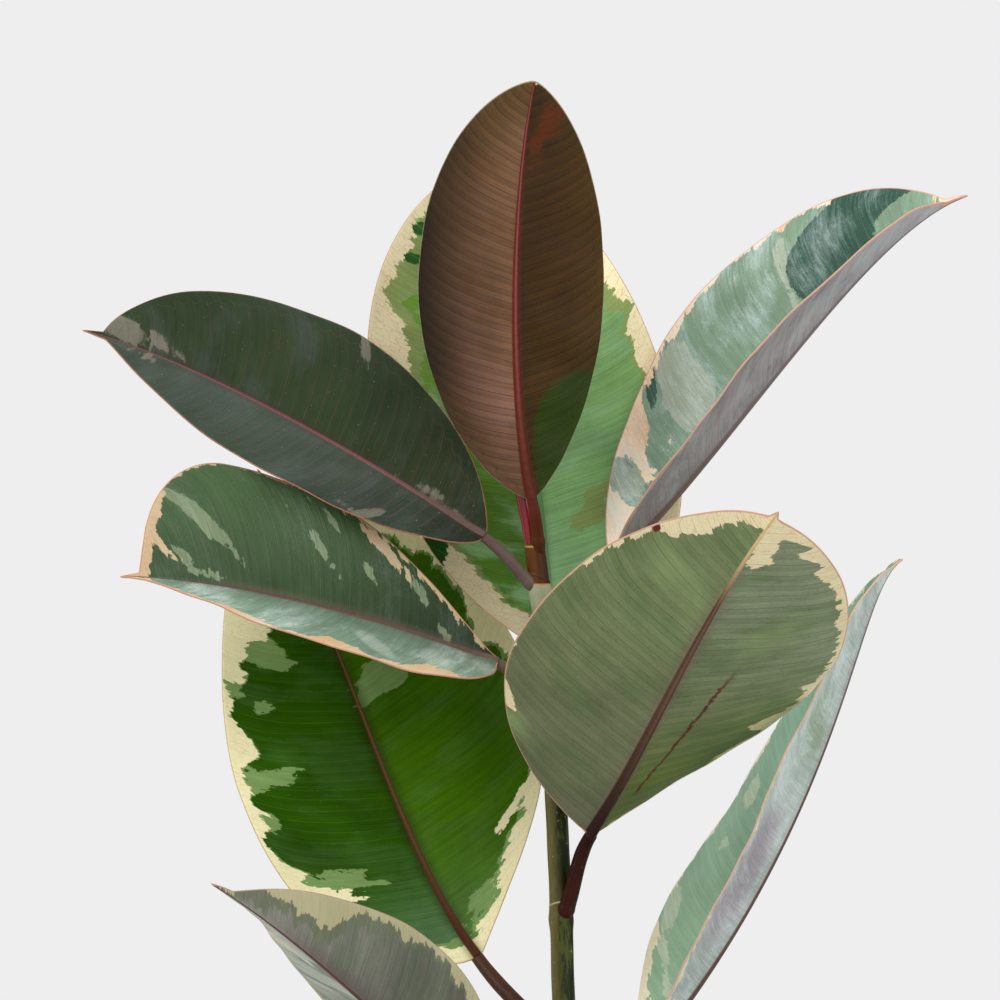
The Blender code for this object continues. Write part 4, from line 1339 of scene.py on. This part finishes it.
LEAVES = (
    Leaf("crown", 0.5745, 84, 0.0027,
         ((-0.020, -0.010, 0.601), (-0.030, -0.022, 0.646), (-0.030, -0.050, 0.735), (-0.019, -0.075, 0.787)),
         ((0, 1, 0.15), (0, 1, 0.35)), 0.0,
         Half(0.0425, 0.50, 1.15, 1.35, (20, 14, 10), 10, (0.0006, 2.2, 0.0)),
         Half(0.047, 0.50, 1.15, 1.35, (20, 14, 10), 10, (0.0006, 2.5, 0.4)), (0.0012, -0.0016)),
    Leaf("left_upper", 0.5580, 38, 0.0027,
         ((-0.042, -0.008, 0.583), (-0.087, -0.004, 0.614), (-0.171, 0.020, 0.6635), (-0.229, 0.030, 0.679)),
         ((0.2, -0.85, 0.5), (0.2, -0.85, 0.5)), 0.05,
         Half(0.034, 0.47, 1.4, 0.95, (12, 10, 6)), Half(0.0555, 0.53, 1.12, 1.65, (12, 10, 6))),
    Leaf("right_upper", 0.5340, 42, 0.0028,
         ((0.018, 0.020, 0.572), (0.072, 0.030, 0.622), (0.137, 0.040, 0.728), (0.185, 0.050, 0.743)),
         ((-0.694, -0.342, 0.634), (-0.694, -0.342, 0.634)), 0.06,
         Half(0.061, 0.48, 1.20, 1.25, (40, 40, 38)), Half(0.060, 0.45, 1.4, 1.1, (42, 37, 29))),
    Leaf("back", 0.5060, 55, 0.0028,
         ((-0.010, 0.030, 0.530), (-0.012, 0.055, 0.591), (-0.029, 0.075, 0.697), (-0.036, 0.100, 0.768)),
         ((0, -0.95, 0.2), (0.05, -0.9, 0.35)), 0.02,
         Half(0.074, 0.56, 1.3, 1.6, (14, 10, 5), -10, (0.0020, 2.4, 0.3)),
         Half(0.068, 0.38, 1.8, 1.25, (14, 10, 5), -10, (0.0020, 2.2, 0.7))),
    Leaf("left_middle", 0.4860, 50, 0.0029,
         ((-0.036, -0.008, 0.525), (-0.081, -0.014, 0.543), (-0.149, -0.016, 0.563), (-0.208, -0.018, 0.565)),
         ((0, -0.74, 0.68), (0, -0.74, 0.68)), 0.05,
         Half(0.055, 0.38, 2.2, 1.0, (36, 36, 34)), Half(0.058, 0.78, 0.75, 3.2, (30, 30, 28))),
    Leaf("front_right", 0.4070, 48, 0.0033,
         ((0.007, -0.020, 0.447), (0.031, -0.054, 0.487), (0.0535, -0.110, 0.549), (0.086, -0.150, 0.595)),
         ((0.25, 0.78, 0.6), (0.15, 0.78, 0.6)), 0.02,
         Half(0.070, 0.50, 1.4, 2.2, (60, 25, 5), 6, (0.0010, 2.4, 0.2)),
         Half(0.072, 0.40, 1.6, 1.45, (12, 10, 6), -8, (0.0010, 2.2, 0.6))),
    Leaf("left_lower", 0.3440, 50, 0.0034,
         ((-0.045, 0.020, 0.388), (-0.084, 0.045, 0.441), (-0.0985, 0.070, 0.510), (-0.150, 0.085, 0.615)),
         ((0.1, -0.9, 0.3), (0.1, -0.9, 0.35)), 0.03,
         Half(0.070, 0.45, 1.6, 1.5, (14, 10, 6), -8, (0.0022, 3.0, 0.0)),
         Half(0.081, 0.55, 1.05, 1.6, (14, 10, 6), -8, (0.0022, 2.6, 0.5))),
    Leaf("front_left", 0.3150, 30, 0.0033,
         ((-0.044, -0.040, 0.324), (-0.079, -0.080, 0.362), (-0.122, -0.130, 0.410), (-0.159, -0.160, 0.435)),
         ((0.22, 0.94, 0.26), (0.22, 0.94, 0.26)), 0.05,
         Half(0.042, 0.30, 1.5, 0.9, (50, 50, 48)), Half(0.052, 0.25, 1.4, 0.50, (50, 50, 48))),
    Leaf("right_lower", 0.2980, 40, 0.0034,
         ((0.032, 0.010, 0.3445), (0.128, 0.010, 0.463), (0.1275, 0.000, 0.560), (0.150, -0.010, 0.573)),
         ((-0.86, -0.17, 0.37), (-0.87, -0.18, 0.40)), 0.06,
         Half(0.057, 0.23, 1.15, 0.73, (39, 15, 24)), Half(0.057, 0.42, 1.1, 1.55, (38, 31, 23))),
    Leaf("low_back", 0.2700, 35, 0.0033,
         ((0.032, 0.038, 0.296), (0.074, 0.088, 0.325), (0.122, 0.146, 0.315), (0.157, 0.188, 0.262)),
         ((0.1, 0.1, 1), (0.35, 0.4, 0.8)), 0.04,
         Half(0.058, 0.48, 1.5, 1.4, (14, 12, 6), -10, (0.0020, 2.6, 0.2)),
         Half(0.060, 0.46, 1.5, 1.4, (14, 12, 6), -10, (0.0020, 2.3, 0.6))),
    Leaf("low_front", 0.2460, 32, 0.0032,
         ((0.011, -0.049, 0.268), (0.025, -0.107, 0.292), (0.041, -0.175, 0.285), (0.053, -0.229, 0.235)),
         ((0, -0.1, 1), (0.1, -0.5, 0.8)), 0.04,
         Half(0.056, 0.47, 1.6, 1.4, (16, 12, 6), -10, (0.0020, 2.4, 0.0)),
         Half(0.054, 0.50, 1.5, 1.5, (16, 12, 6), -10, (0.0020, 2.8, 0.4))),
    Leaf("low_left", 0.2220, 30, 0.0030,
         ((-0.048, 0.007, 0.244), (-0.109, 0.015, 0.272), (-0.173, 0.024, 0.268), (-0.230, 0.032, 0.222)),
         ((-0.1, 0, 1), (-0.5, 0.1, 0.8)), 0.04,
         Half(0.052, 0.50, 1.4, 1.4, (14, 12, 6), -10, (0.0018, 2.5, 0.5)),
         Half(0.052, 0.46, 1.5, 1.3, (14, 12, 6), -10, (0.0018, 2.7, 0.1))),
)

CREAM, GREY, ACCENT, BODY = Tone.CREAM, Tone.GREY, Tone.ACCENT, Tone.BODY

# Finishes that several leaves share
GREEN_TOP = BladeFinish(
    left=((64, 100, 40), (42, 78, 8)), right=((66, 104, 42), (46, 80, 12)), vein=(104, 136, 52),
    grey=(108, 136, 78), accent=(28, 58, 10), rib=(84, 60, 38), rib_light=(116, 80, 58), specular=0.12)
PALE_UNDER = BladeFinish(
    left=((112, 122, 88), (118, 132, 94)), right=((108, 118, 84), (114, 128, 90)), vein=(92, 84, 66),
    loop=5.0, grey=(134, 150, 118), cream=(208, 198, 160), rib=(92, 58, 52), rib_light=(118, 78, 70),
    rib_reach=0.95, haze=(110, 88, 84), haze_share=0.55, haze_reach=2.6, relief=0.00012, roughness=0.5,
    streaks=0.4, mottle=0.4, mesh_share=0.25, specks=0.0)
DARK_STALK = StalkFinish((66, 38, 32), (58, 36, 28))

LOOKS = {
    "crown": BladeLook(
        upper=BladeFinish(
            left=((70, 62, 34), (78, 54, 34)), right=((70, 62, 34), (78, 54, 34)), vein=(120, 84, 60),
            rib=(128, 44, 40), rib_light=(150, 64, 56), accent=(58, 84, 24), grey=(110, 66, 38),
            roughness=0.36),
        under=BladeFinish(
            left=((61, 49, 6), (63, 45, 6)), right=((108, 79, 71), (91, 68, 50)), accent=(48, 62, 0),
            slope=(-0.010, 0.032), grey=(90, 47, 20), soft=(2.4, 1.6), patch=(78, 52, 30), patch_share=0.35,
            fringe=(72, 55, 24), fringe_share=0.6, cream=(200, 192, 158), vein=(58, 34, 22), vein_share=0.5,
            vein_spacing=5.6, loop=4.2, rib=(96, 40, 36), rib_light=(134, 72, 62), rib_reach=1.1,
            haze=(96, 50, 40), haze_share=0.45, haze_reach=3.0, edge=(140, 132, 100), edge_width=0.45,
            mottle=0.7, painted_quilt_shade=0.2, specks=0.0, relief=0.00012, roughness=0.44),
        stalk=StalkFinish((74, 44, 26), (94, 46, 36)), cream_left=((0, -9), (200, -9)),
        cream_right=((0, -9), (200, -9)),
        marks=(
            # The GREY marks at v 165 and 177, orange on the under side: partly the young leaf's own colour,
            # partly painted light shining through it
            Mark(ACCENT, 12, 24, 36, 20), Mark(GREY, 177, 11, 9, 6, 0.3), Mark(GREY, 165, 6.5, 6, 2.8, 0.5),
            Mark(CREAM, 201, 4, 3.5, 6))),
    "left_upper": BladeLook(
        upper=BladeFinish(
            left=((44, 50, 39), (50, 62, 50)), right=((41, 47, 32), (44, 56, 36)), vein=(84, 56, 52),
            vein_share=0.4, vein_spacing=6.5, loop=6.0, rib=(92, 52, 54), rib_light=(108, 64, 64),
            rib_reach=0.55, haze=(58, 46, 42), haze_share=0.6, haze_reach=4.5, grey=(100, 98, 85),
            soft=(0.9, 0.3), patch=(64, 72, 68), patch_share=0.4, cream=(150, 140, 122), edge=(150, 104, 82),
            edge_width=0.5, mottle=0.45, streaks=0.45, specks=0.25, specular=0.2, roughness=0.38),
        under=BladeFinish(
            left=((104, 92, 84), (100, 92, 82)), right=((100, 88, 80), (96, 90, 80)), vein=(80, 54, 50),
            loop=6.0, rib=(88, 44, 42), rib_light=(120, 66, 60), rib_reach=1.0, grey=(132, 134, 118),
            relief=0.00012, roughness=0.5),
        stalk=StalkFinish((110, 94, 88), (96, 76, 70)), cream_left=((0, -9), (250, -9)),
        cream_right=((0, -9), (250, -9)),
        marks=(
            Mark(GREY, 194, -6, 16, 5, 0.3), Mark(GREY, 173, -5, 7, 2, 0.8), Mark(GREY, 181, 2.5, 4, 1.2),
            Mark(GREY, 42, 27, 2.4, 4.0, 0.5), Mark(GREY, 47, 29, 4.5, 1.2), Mark(GREY, 78, -46, 2.6, 8, 0.3),
            Mark(GREY, 18, -1.5, 10, 0.9), Mark(GREY, 30, -3.5, 3, 1.2))),
    "right_upper": BladeLook(
        upper=BladeFinish(
            left=((120, 142, 124), (118, 142, 118)), right=((122, 146, 126), (118, 142, 118)),
            cream=(242, 214, 186), blush=(206, 168, 134), blush_share=0.1, net=(196, 140, 118), net_share=0.6,
            grey=(158, 166, 148), accent=(54, 84, 70), accent_gloss=0.12, vein=(170, 160, 146),
            vein_share=0.15, rib=(110, 66, 56), edge=(204, 154, 134), edge_width=0.8, sheen=(204, 222, 220),
            sheen_share=0.5, sheen_reach=90.0, mottle=0.4, streaks=0.35, roughness=0.34),
        under=BladeFinish(
            left=((132, 122, 120), (156, 158, 160)), right=((124, 114, 112), (154, 156, 158)),
            cream=(190, 160, 140), grey=(150, 148, 144), accent=(120, 118, 112), vein=(92, 72, 72),
            vein_share=0.45, vein_spacing=7.0, base_reach=0.95, rib=(116, 104, 102),
            rib_light=(130, 120, 116), rib_reach=1.0, patch=(100, 88, 88), patch_share=0.6,
            haze=(120, 108, 106), haze_share=0.2, edge=(200, 154, 138), edge_width=0.9, sheen=(190, 194, 196),
            sheen_share=0.3, sheen_reach=90.0, streaks=0.8, specks=0.0, relief=0.00012, roughness=0.5),
        stalk=StalkFinish((96, 70, 60), (110, 84, 76)),
        cream_left=(
            (0, 16), (30, 16), (42, 24), (52, 18), (60, 9), (70, 6), (78, 8), (84, 5), (100, 2.5), (128, 1.5),
            (150, 0.8), (157, 3.5), (166, 1.2), (182, 1.6), (186, -3), (240, -3)),
        cream_right=((0, 1), (240, 1)),
        marks=(
            Mark(CREAM, 46, 34, 12, 17), Mark(CREAM, 10, 18, 9, 14), Mark(GREY, 26, 25, 8.5, 13, -0.2),
            Mark(GREY, 76, 34, 14, 24), Mark(BODY, 55, 36, 6.5, 20, 0.55, 3.0),
            Mark(ACCENT, 62, 48, 3.6, 8, 0.55), Mark(GREY, 146.5, 25, 2.8, 18, 0.25),
            Mark(ACCENT, 182, 21, 35, 20, 0, 3.0), Mark(BODY, 208, 11, 14, 6.5, 0.2),
            Mark(CREAM, 236, 0, 12, 7))),
    "back": BladeLook(
        # Left half's dark green body: partly painted shadow of the crown leaf in front. Right half's light
        # green body: brightened by painted light against the shade that the leaves in front cast on it.
        upper=BladeFinish(
            left=((66, 106, 26), (84, 114, 44)), right=((139, 184, 130), (122, 162, 98)), vein=(92, 128, 64),
            vein_share=0.35, vein_spacing=6.5, grey=(128, 144, 86), cream=(226, 213, 174),
            painted_side_light=(0.68, 1.18), blush=(214, 190, 148), blush_share=-0.05, net=(190, 146, 92),
            net_share=0.6, accent=(34, 70, 12), patch=(136, 172, 128), patch_share=0.55, rib=(92, 134, 84),
            rib_light=(96, 138, 88), foot_reach=0.18, edge=(196, 150, 112), specular=0.2, roughness=0.4),
        # Pale lilac petiole and rib foot: partly their own colour, partly a painted highlight along them
        under=PALE_UNDER, stalk=StalkFinish((130, 112, 112), (176, 166, 172)),
        cream_left=(
            (0, 12), (40, 10), (100, 14), (118, 20), (140, 19), (152, 14), (160, 6), (180, 6), (188, 10),
            (200, 7), (215, 5), (250, 5)),
        cream_right=(
            (0, 8), (60, 8), (100, 6), (115, 9), (135, 8), (145, 4), (155, 6), (170, 7), (200, 9), (250, 6)),
        grey_left=((0, 2), (120, 3), (140, 9), (158, 5), (164, 16), (178, 14), (186, 5), (250, 3)),
        grey_right=((0, 2), (130, 2), (156, 8), (250, 2)),
        marks=(
            Mark(GREY, 54, -23, 2.6, 7), Mark(GREY, 60, -26, 3, 5), Mark(GREY, 65, -28, 2.6, 6),
            Mark(ACCENT, 34, 52, 12, 6), Mark(ACCENT, 182, 46, 3, 5), Mark(ACCENT, 198, 41, 4, 4))),
    "left_middle": BladeLook(
        # Left half's pale bluish body: partly the leaf's own grey-green, partly painted sheen from the light
        # above
        upper=BladeFinish(
            left=((114, 134, 116), (114, 138, 118)), right=((42, 55, 33), (64, 84, 56)), base_reach=0.75,
            slope=(0.0, -0.010), soft=(0.3, 2.5), vein=(68, 72, 54), vein_share=0.35, vein_spacing=4.6,
            cream=(206, 182, 146), painted_side_light=(1.0, 0.82), blush=(194, 146, 112), blush_share=0.1,
            net=(176, 130, 98), grey=(128, 144, 112), accent=(154, 170, 155), rib=(94, 62, 56),
            rib_light=(108, 78, 70), rib_reach=0.6, haze=(98, 88, 76), haze_share=0.6, haze_reach=5.5,
            edge=(190, 136, 106), edge_width=0.6, sheen=(200, 212, 208), sheen_share=0.6,
            sheen_halves=(1.0, 0.10), sheen_reach=48.0, mottle=0.4, streaks=0.45, specks=0.15, teeth=0.9,
            roughness=0.38),
        under=PALE_UNDER, stalk=StalkFinish((84, 60, 50), (104, 84, 72)),
        cream_left=(
            (0, 0), (6, 2), (15, 7), (22, 9), (28, 5), (45, 3), (50, 7), (58, 10), (64, 9), (72, 3), (90, 1),
            (97, 5), (108, 5), (118, 4), (124, 1), (150, 0.8), (176, 2)),
        cream_right=((0, 1), (60, 1), (125, 0.3), (146, 1), (154, 4), (170, 5)),
        marks=(
            Mark(GREY, 36, -18, 2.2, 11, 0.75), Mark(CREAM, 52, -33, 4, 9, 1.1),
            Mark(GREY, 69, -32, 1.6, 12, 0.8), Mark(GREY, 87, -33, 1.5, 12, 0.7),
            Mark(GREY, 121, -16, 2.4, 7, 0.4), Mark(GREY, 135, -31, 5.5, 14, 0.9),
            Mark(GREY, 142, -5, 8, 2.2, 0.8), Mark(GREY, 150, -13, 5, 5, 1.0),
            Mark(CREAM, 154, -15, 2.2, 9, 0.75), Mark(ACCENT, 19, 29, 7, 13, -0.3),
            Mark(ACCENT, 2, 16, 5, 9, -0.3), Mark(ACCENT, 46, 36, 7, 11, -0.9))),
    "front_right": BladeLook(
        upper=GREEN_TOP,
        # Left half's yellow-green base: partly the blade's own colour, partly painted light shining through
        # it
        under=BladeFinish(
            left=((88, 101, 8), (120, 132, 104)), right=((98, 100, 78), (109, 123, 84)), base_reach=0.8,
            slope=(-0.003, 0.0), vein=(80, 70, 60), vein_share=0.6, vein_spacing=7.0, mesh_share=0.3,
            cream=(216, 204, 166), blush=(204, 174, 130), grey=(122, 138, 94), accent=(96, 36, 36),
            soft=(7.0, 0.3), patch=(84, 104, 66), patch_share=0.5, rib=(80, 56, 42), rib_light=(100, 76, 62),
            rib_tip=(196, 168, 122), rib_reach=1.0, haze=(104, 84, 80), haze_share=0.6, haze_reach=7.0,
            edge=(190, 146, 122), edge_width=0.7, streaks=0.22, painted_quilt_shade=0.1, scratch=0.9, specks=0.0,
            relief=0.00012, roughness=0.5),
        stalk=StalkFinish((61, 32, 24), (45, 23, 13)),
        cream_left=(
            (0, 1), (46, 3), (50, 11), (54, 12), (60, 5), (68, 3), (80, 5), (84, 8), (90, 3), (120, 2.5),
            (140, 4), (160, 5), (170, 7), (178, 10), (183, 5), (188, 12), (193, 4), (198, 12), (210, 10)),
        cream_right=(
            (0, -4), (12, -3), (18, 2), (26, 5), (33, 3), (38, -1), (105, -1), (120, 1), (135, 1.5), (150, 2),
            (160, 3), (164, 8), (168, 7), (172, 12), (182, 10), (188, 6), (196, 6), (210, 8)),
        marks=(
            Mark(GREY, 130, 30, 10, 8, 0.4), Mark(GREY, 149, -22, 8, 15), Mark(GREY, 18, -56, 6, 8),
            Mark(CREAM, 192, 5, 14, 4.5), Mark(ACCENT, 161, -40.5, 2.6, 1.8))),
    "left_lower": BladeLook(
        upper=BladeFinish(
            left=((92, 121, 88), (45, 75, 0)), right=((86, 119, 64), (62, 97, 0)), base_reach=0.3,
            vein=(96, 130, 36), vein_share=0.18, vein_spacing=5.0, grey=(112, 138, 84), cream=(222, 214, 172),
            accent=(26, 56, 8), blush=(206, 190, 136), net=(190, 156, 96), patch=(84, 112, 70),
            patch_share=0.15, rib=(74, 56, 34), rib_light=(104, 78, 56), rib_reach=0.65, haze=(44, 46, 10),
            haze_share=0.6, haze_reach=7.0, edge=(196, 168, 128), streaks=0.45, mottle=0.6, painted_quilt_shade=0.08,
            specular=0.06),
        under=PALE_UNDER, stalk=StalkFinish((62, 40, 34), (72, 48, 36)),
        cream_left=(
            (0, 8), (30, 8), (36, 12), (44, 14), (50, 10), (54, 3), (68, 3), (71, 9), (79, 8), (84, 4),
            (104, 4), (106, 12), (125, 9), (130, 4), (145, 7), (150, 10), (160, 10), (166, 20), (180, 22),
            (205, 14), (250, 8)),
        cream_right=(
            (0, 7), (30, 7), (48, 7), (60, 4), (100, 4), (112, 6), (124, 14), (140, 12), (150, 6), (170, 5),
            (185, 9), (210, 10), (250, 6)),
        grey_left=((0, 3), (46, 2), (60, 0.5), (250, 1)), grey_right=((0, 2), (250, 2)),
        marks=(
            Mark(GREY, 45, 42, 5, 13), Mark(CREAM, 37, 47, 3, 11), Mark(GREY, 97, 52, 5.5, 12, -0.1),
            Mark(GREY, 162, 33, 8.5, 10), Mark(GREY, 134, 44, 2, 4), Mark(GREY, 145, 53, 5, 3),
            Mark(GREY, 74, 61, 4, 3), Mark(CREAM, 44, -49, 2.6, 11, 0.5), Mark(GREY, 17, -16, 4.5, 12),
            Mark(GREY, 139, -15, 9, 14), Mark(CREAM, 3, -8, 3, 6))),
    "front_left": BladeLook(
        upper=GREEN_TOP,
        # Right half's pale body: partly the under side's own pale grey, partly a painted reflection of the
        # bright surroundings; its sheen is a painted highlight
        under=BladeFinish(
            left=((66, 66, 48), (130, 131, 121)), right=((178, 190, 174), (176, 186, 170)), base_reach=0.9,
            vein=(78, 62, 60), vein_share=0.35, mesh_share=0.15, cream=(174, 169, 133), blush=(168, 156, 116),
            grey=(106, 112, 92), accent=(204, 202, 182), soft=(0.8, 0.8), patch=(98, 108, 90),
            patch_share=0.75, rib=(84, 54, 50), rib_light=(92, 62, 56), rib_reach=0.5, haze=(92, 76, 76),
            haze_share=0.6, haze_reach=9.0, edge=(170, 140, 116), sheen=(184, 192, 180), sheen_share=0.3,
            sheen_halves=(0.1, 1.0), specks=0.0, relief=0.00010, roughness=0.5, teeth=1.2),
        stalk=StalkFinish((66, 42, 36), (70, 50, 42)),
        cream_left=(
            (0, 8), (28, 7), (45, 4), (62, 2), (72, 4), (82, 7), (95, 5), (110, 4), (120, 6), (126, 11),
            (132, 13), (140, 10), (148, 10), (156, 6), (165, 2), (185, 1)),
        cream_right=((0, 4), (60, 2), (185, 1)),
        grey_left=((0, 1), (70, 2), (100, 5), (118, 6), (134, 8), (150, 4), (185, 4)),
        marks=(Mark(ACCENT, 132, -15, 22, 3.4, 0.4), Mark(GREY, 174, 7, 11, 5))),
    "right_lower": BladeLook(
        upper=BladeFinish(
            left=((141, 168, 138), (132, 168, 143)), right=((141, 168, 138), (132, 168, 143)),
            cream=(224, 214, 184), blush_share=-0.3, grey=(172, 187, 162), vein=(140, 164, 132),
            vein_share=0.2, rib=(104, 72, 60), edge=(200, 176, 150), streaks=0.35, mottle=0.35,
            roughness=0.45),
        # On this side the right half's soft accent and grey marks are painted light and shade of its folds,
        # and the sheen is a painted highlight
        under=BladeFinish(
            left=((156, 164, 162), (164, 176, 168)), right=((168, 178, 176), (170, 184, 176)),
            cream=(216, 206, 186), grey=(132, 152, 128), accent=(150, 146, 152), soft=(9.0, 9.0),
            vein=(196, 206, 204), vein_spacing=6.0, rib=(96, 74, 66), rib_light=(96, 74, 66), rib_reach=0.7,
            haze=(130, 118, 114), patch=(142, 156, 150), patch_share=0.5, edge=(206, 170, 146),
            edge_width=0.8, sheen=(218, 230, 230), sheen_share=0.5, sheen_reach=90.0, streaks=0.7,
            mottle=0.45, specks=0.0, relief=0.00012, roughness=0.5),
        stalk=StalkFinish((66, 44, 38), (90, 68, 60)),
        cream_left=(
            (0, 3), (10, 4), (36, 4), (42, 1), (50, 3), (58, 1), (84, 0.5), (88, 2), (92, 0.5), (110, 1),
            (118, 3), (132, 2), (250, 1)),
        cream_right=((0, 4), (60, 1), (250, 1)),
        marks=(
            Mark(GREY, 27, 17, 2, 6, 0.2), Mark(GREY, 34, 29, 3.5, 9, 0.4), Mark(GREY, 46, 44, 8, 9, 0.5),
            # ACCENT at v 90 and GREY at v 168, on the right half: painted light and shade of soft folds
            Mark(GREY, 88, 40, 2.6, 5), Mark(GREY, 116, 43, 7, 5), Mark(ACCENT, 90, -28, 34, 22),
            Mark(GREY, 168, -24, 20, 18))),
    "low_back": BladeLook(
        upper=GREEN_TOP, under=PALE_UNDER, stalk=DARK_STALK,
        cream_left=((0, 8), (50, 12), (80, 5), (120, 10), (150, 14), (190, 8)),
        cream_right=((0, 10), (40, 6), (90, 12), (130, 5), (170, 12), (200, 8)),
        grey_left=((0, 4), (100, 2), (200, 5)), grey_right=((0, 2), (100, 6), (200, 3)),
        marks=(Mark(GREY, 70, -20, 6, 12), Mark(GREY, 110, 24, 7, 10))),
    "low_front": BladeLook(
        upper=GREEN_TOP, under=PALE_UNDER, stalk=DARK_STALK,
        cream_left=((0, 10), (30, 5), (80, 12), (110, 5), (160, 12), (200, 8)),
        cream_right=((0, 6), (50, 12), (90, 6), (140, 12), (200, 8)), grey_left=((0, 3), (90, 6), (200, 2)),
        grey_right=((0, 3), (200, 5)),
        marks=(Mark(GREY, 60, 20, 6, 13), Mark(GREY, 120, -20, 8, 12), Mark(CREAM, 150, -20, 4, 14))),
    "low_left": BladeLook(
        upper=GREEN_TOP, under=PALE_UNDER, stalk=DARK_STALK,
        cream_left=((0, 8), (40, 12), (90, 5), (130, 12), (200, 7)),
        cream_right=((0, 8), (60, 6), (100, 13), (150, 6), (200, 8)), grey_left=((0, 4), (200, 3)),
        grey_right=((0, 2), (120, 6), (200, 3)),
        marks=(Mark(GREY, 50, -16, 6, 10), Mark(GREY, 100, 20, 7, 12), Mark(CREAM, 140, 18, 4, 12))),
}


def dress(piece: bpy.types.Object, slot: str, *nodes: str) -> None:
    """Puts a piece in the place of the CAD nodes, on the part's only body, and reports it."""
    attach(piece, "root")
    if nodes:
        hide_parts(*nodes)
    LOG.info("%s: %d faces, in place of %s", piece.name, len(piece.data.polygons),
             ", ".join(nodes) or "nothing")


def main() -> None:
    """Builds the plant over its CAD nodes and reports each piece."""
    logging.basicConfig(level=logging.INFO, format="%(name)s: %(message)s")
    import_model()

    for number, leaf in enumerate(LEAVES):
        look = LOOKS[leaf.name]
        dress(Blade(leaf, look, 1.0 + number).build(), "blade", "leaf_" + leaf.name)
        dress(Petiole(leaf, look.stalk).build(), "petiole", "petiole_" + leaf.name)
    dress(Stem().build(LEAVES, Bark()), "bark", "stem")
    dress(BudSheath().build(), "bud", "bud_sheath")
    dress(Pot().build(), "terracotta", "pot")
    soil = Soil()
    dress(soil.build(), "soil", "soil")
    for lumps in soil.lumps:
        dress(soil.scatter(lumps), "soil")
    Studio().build()


if __name__ == "__main__":
    main()
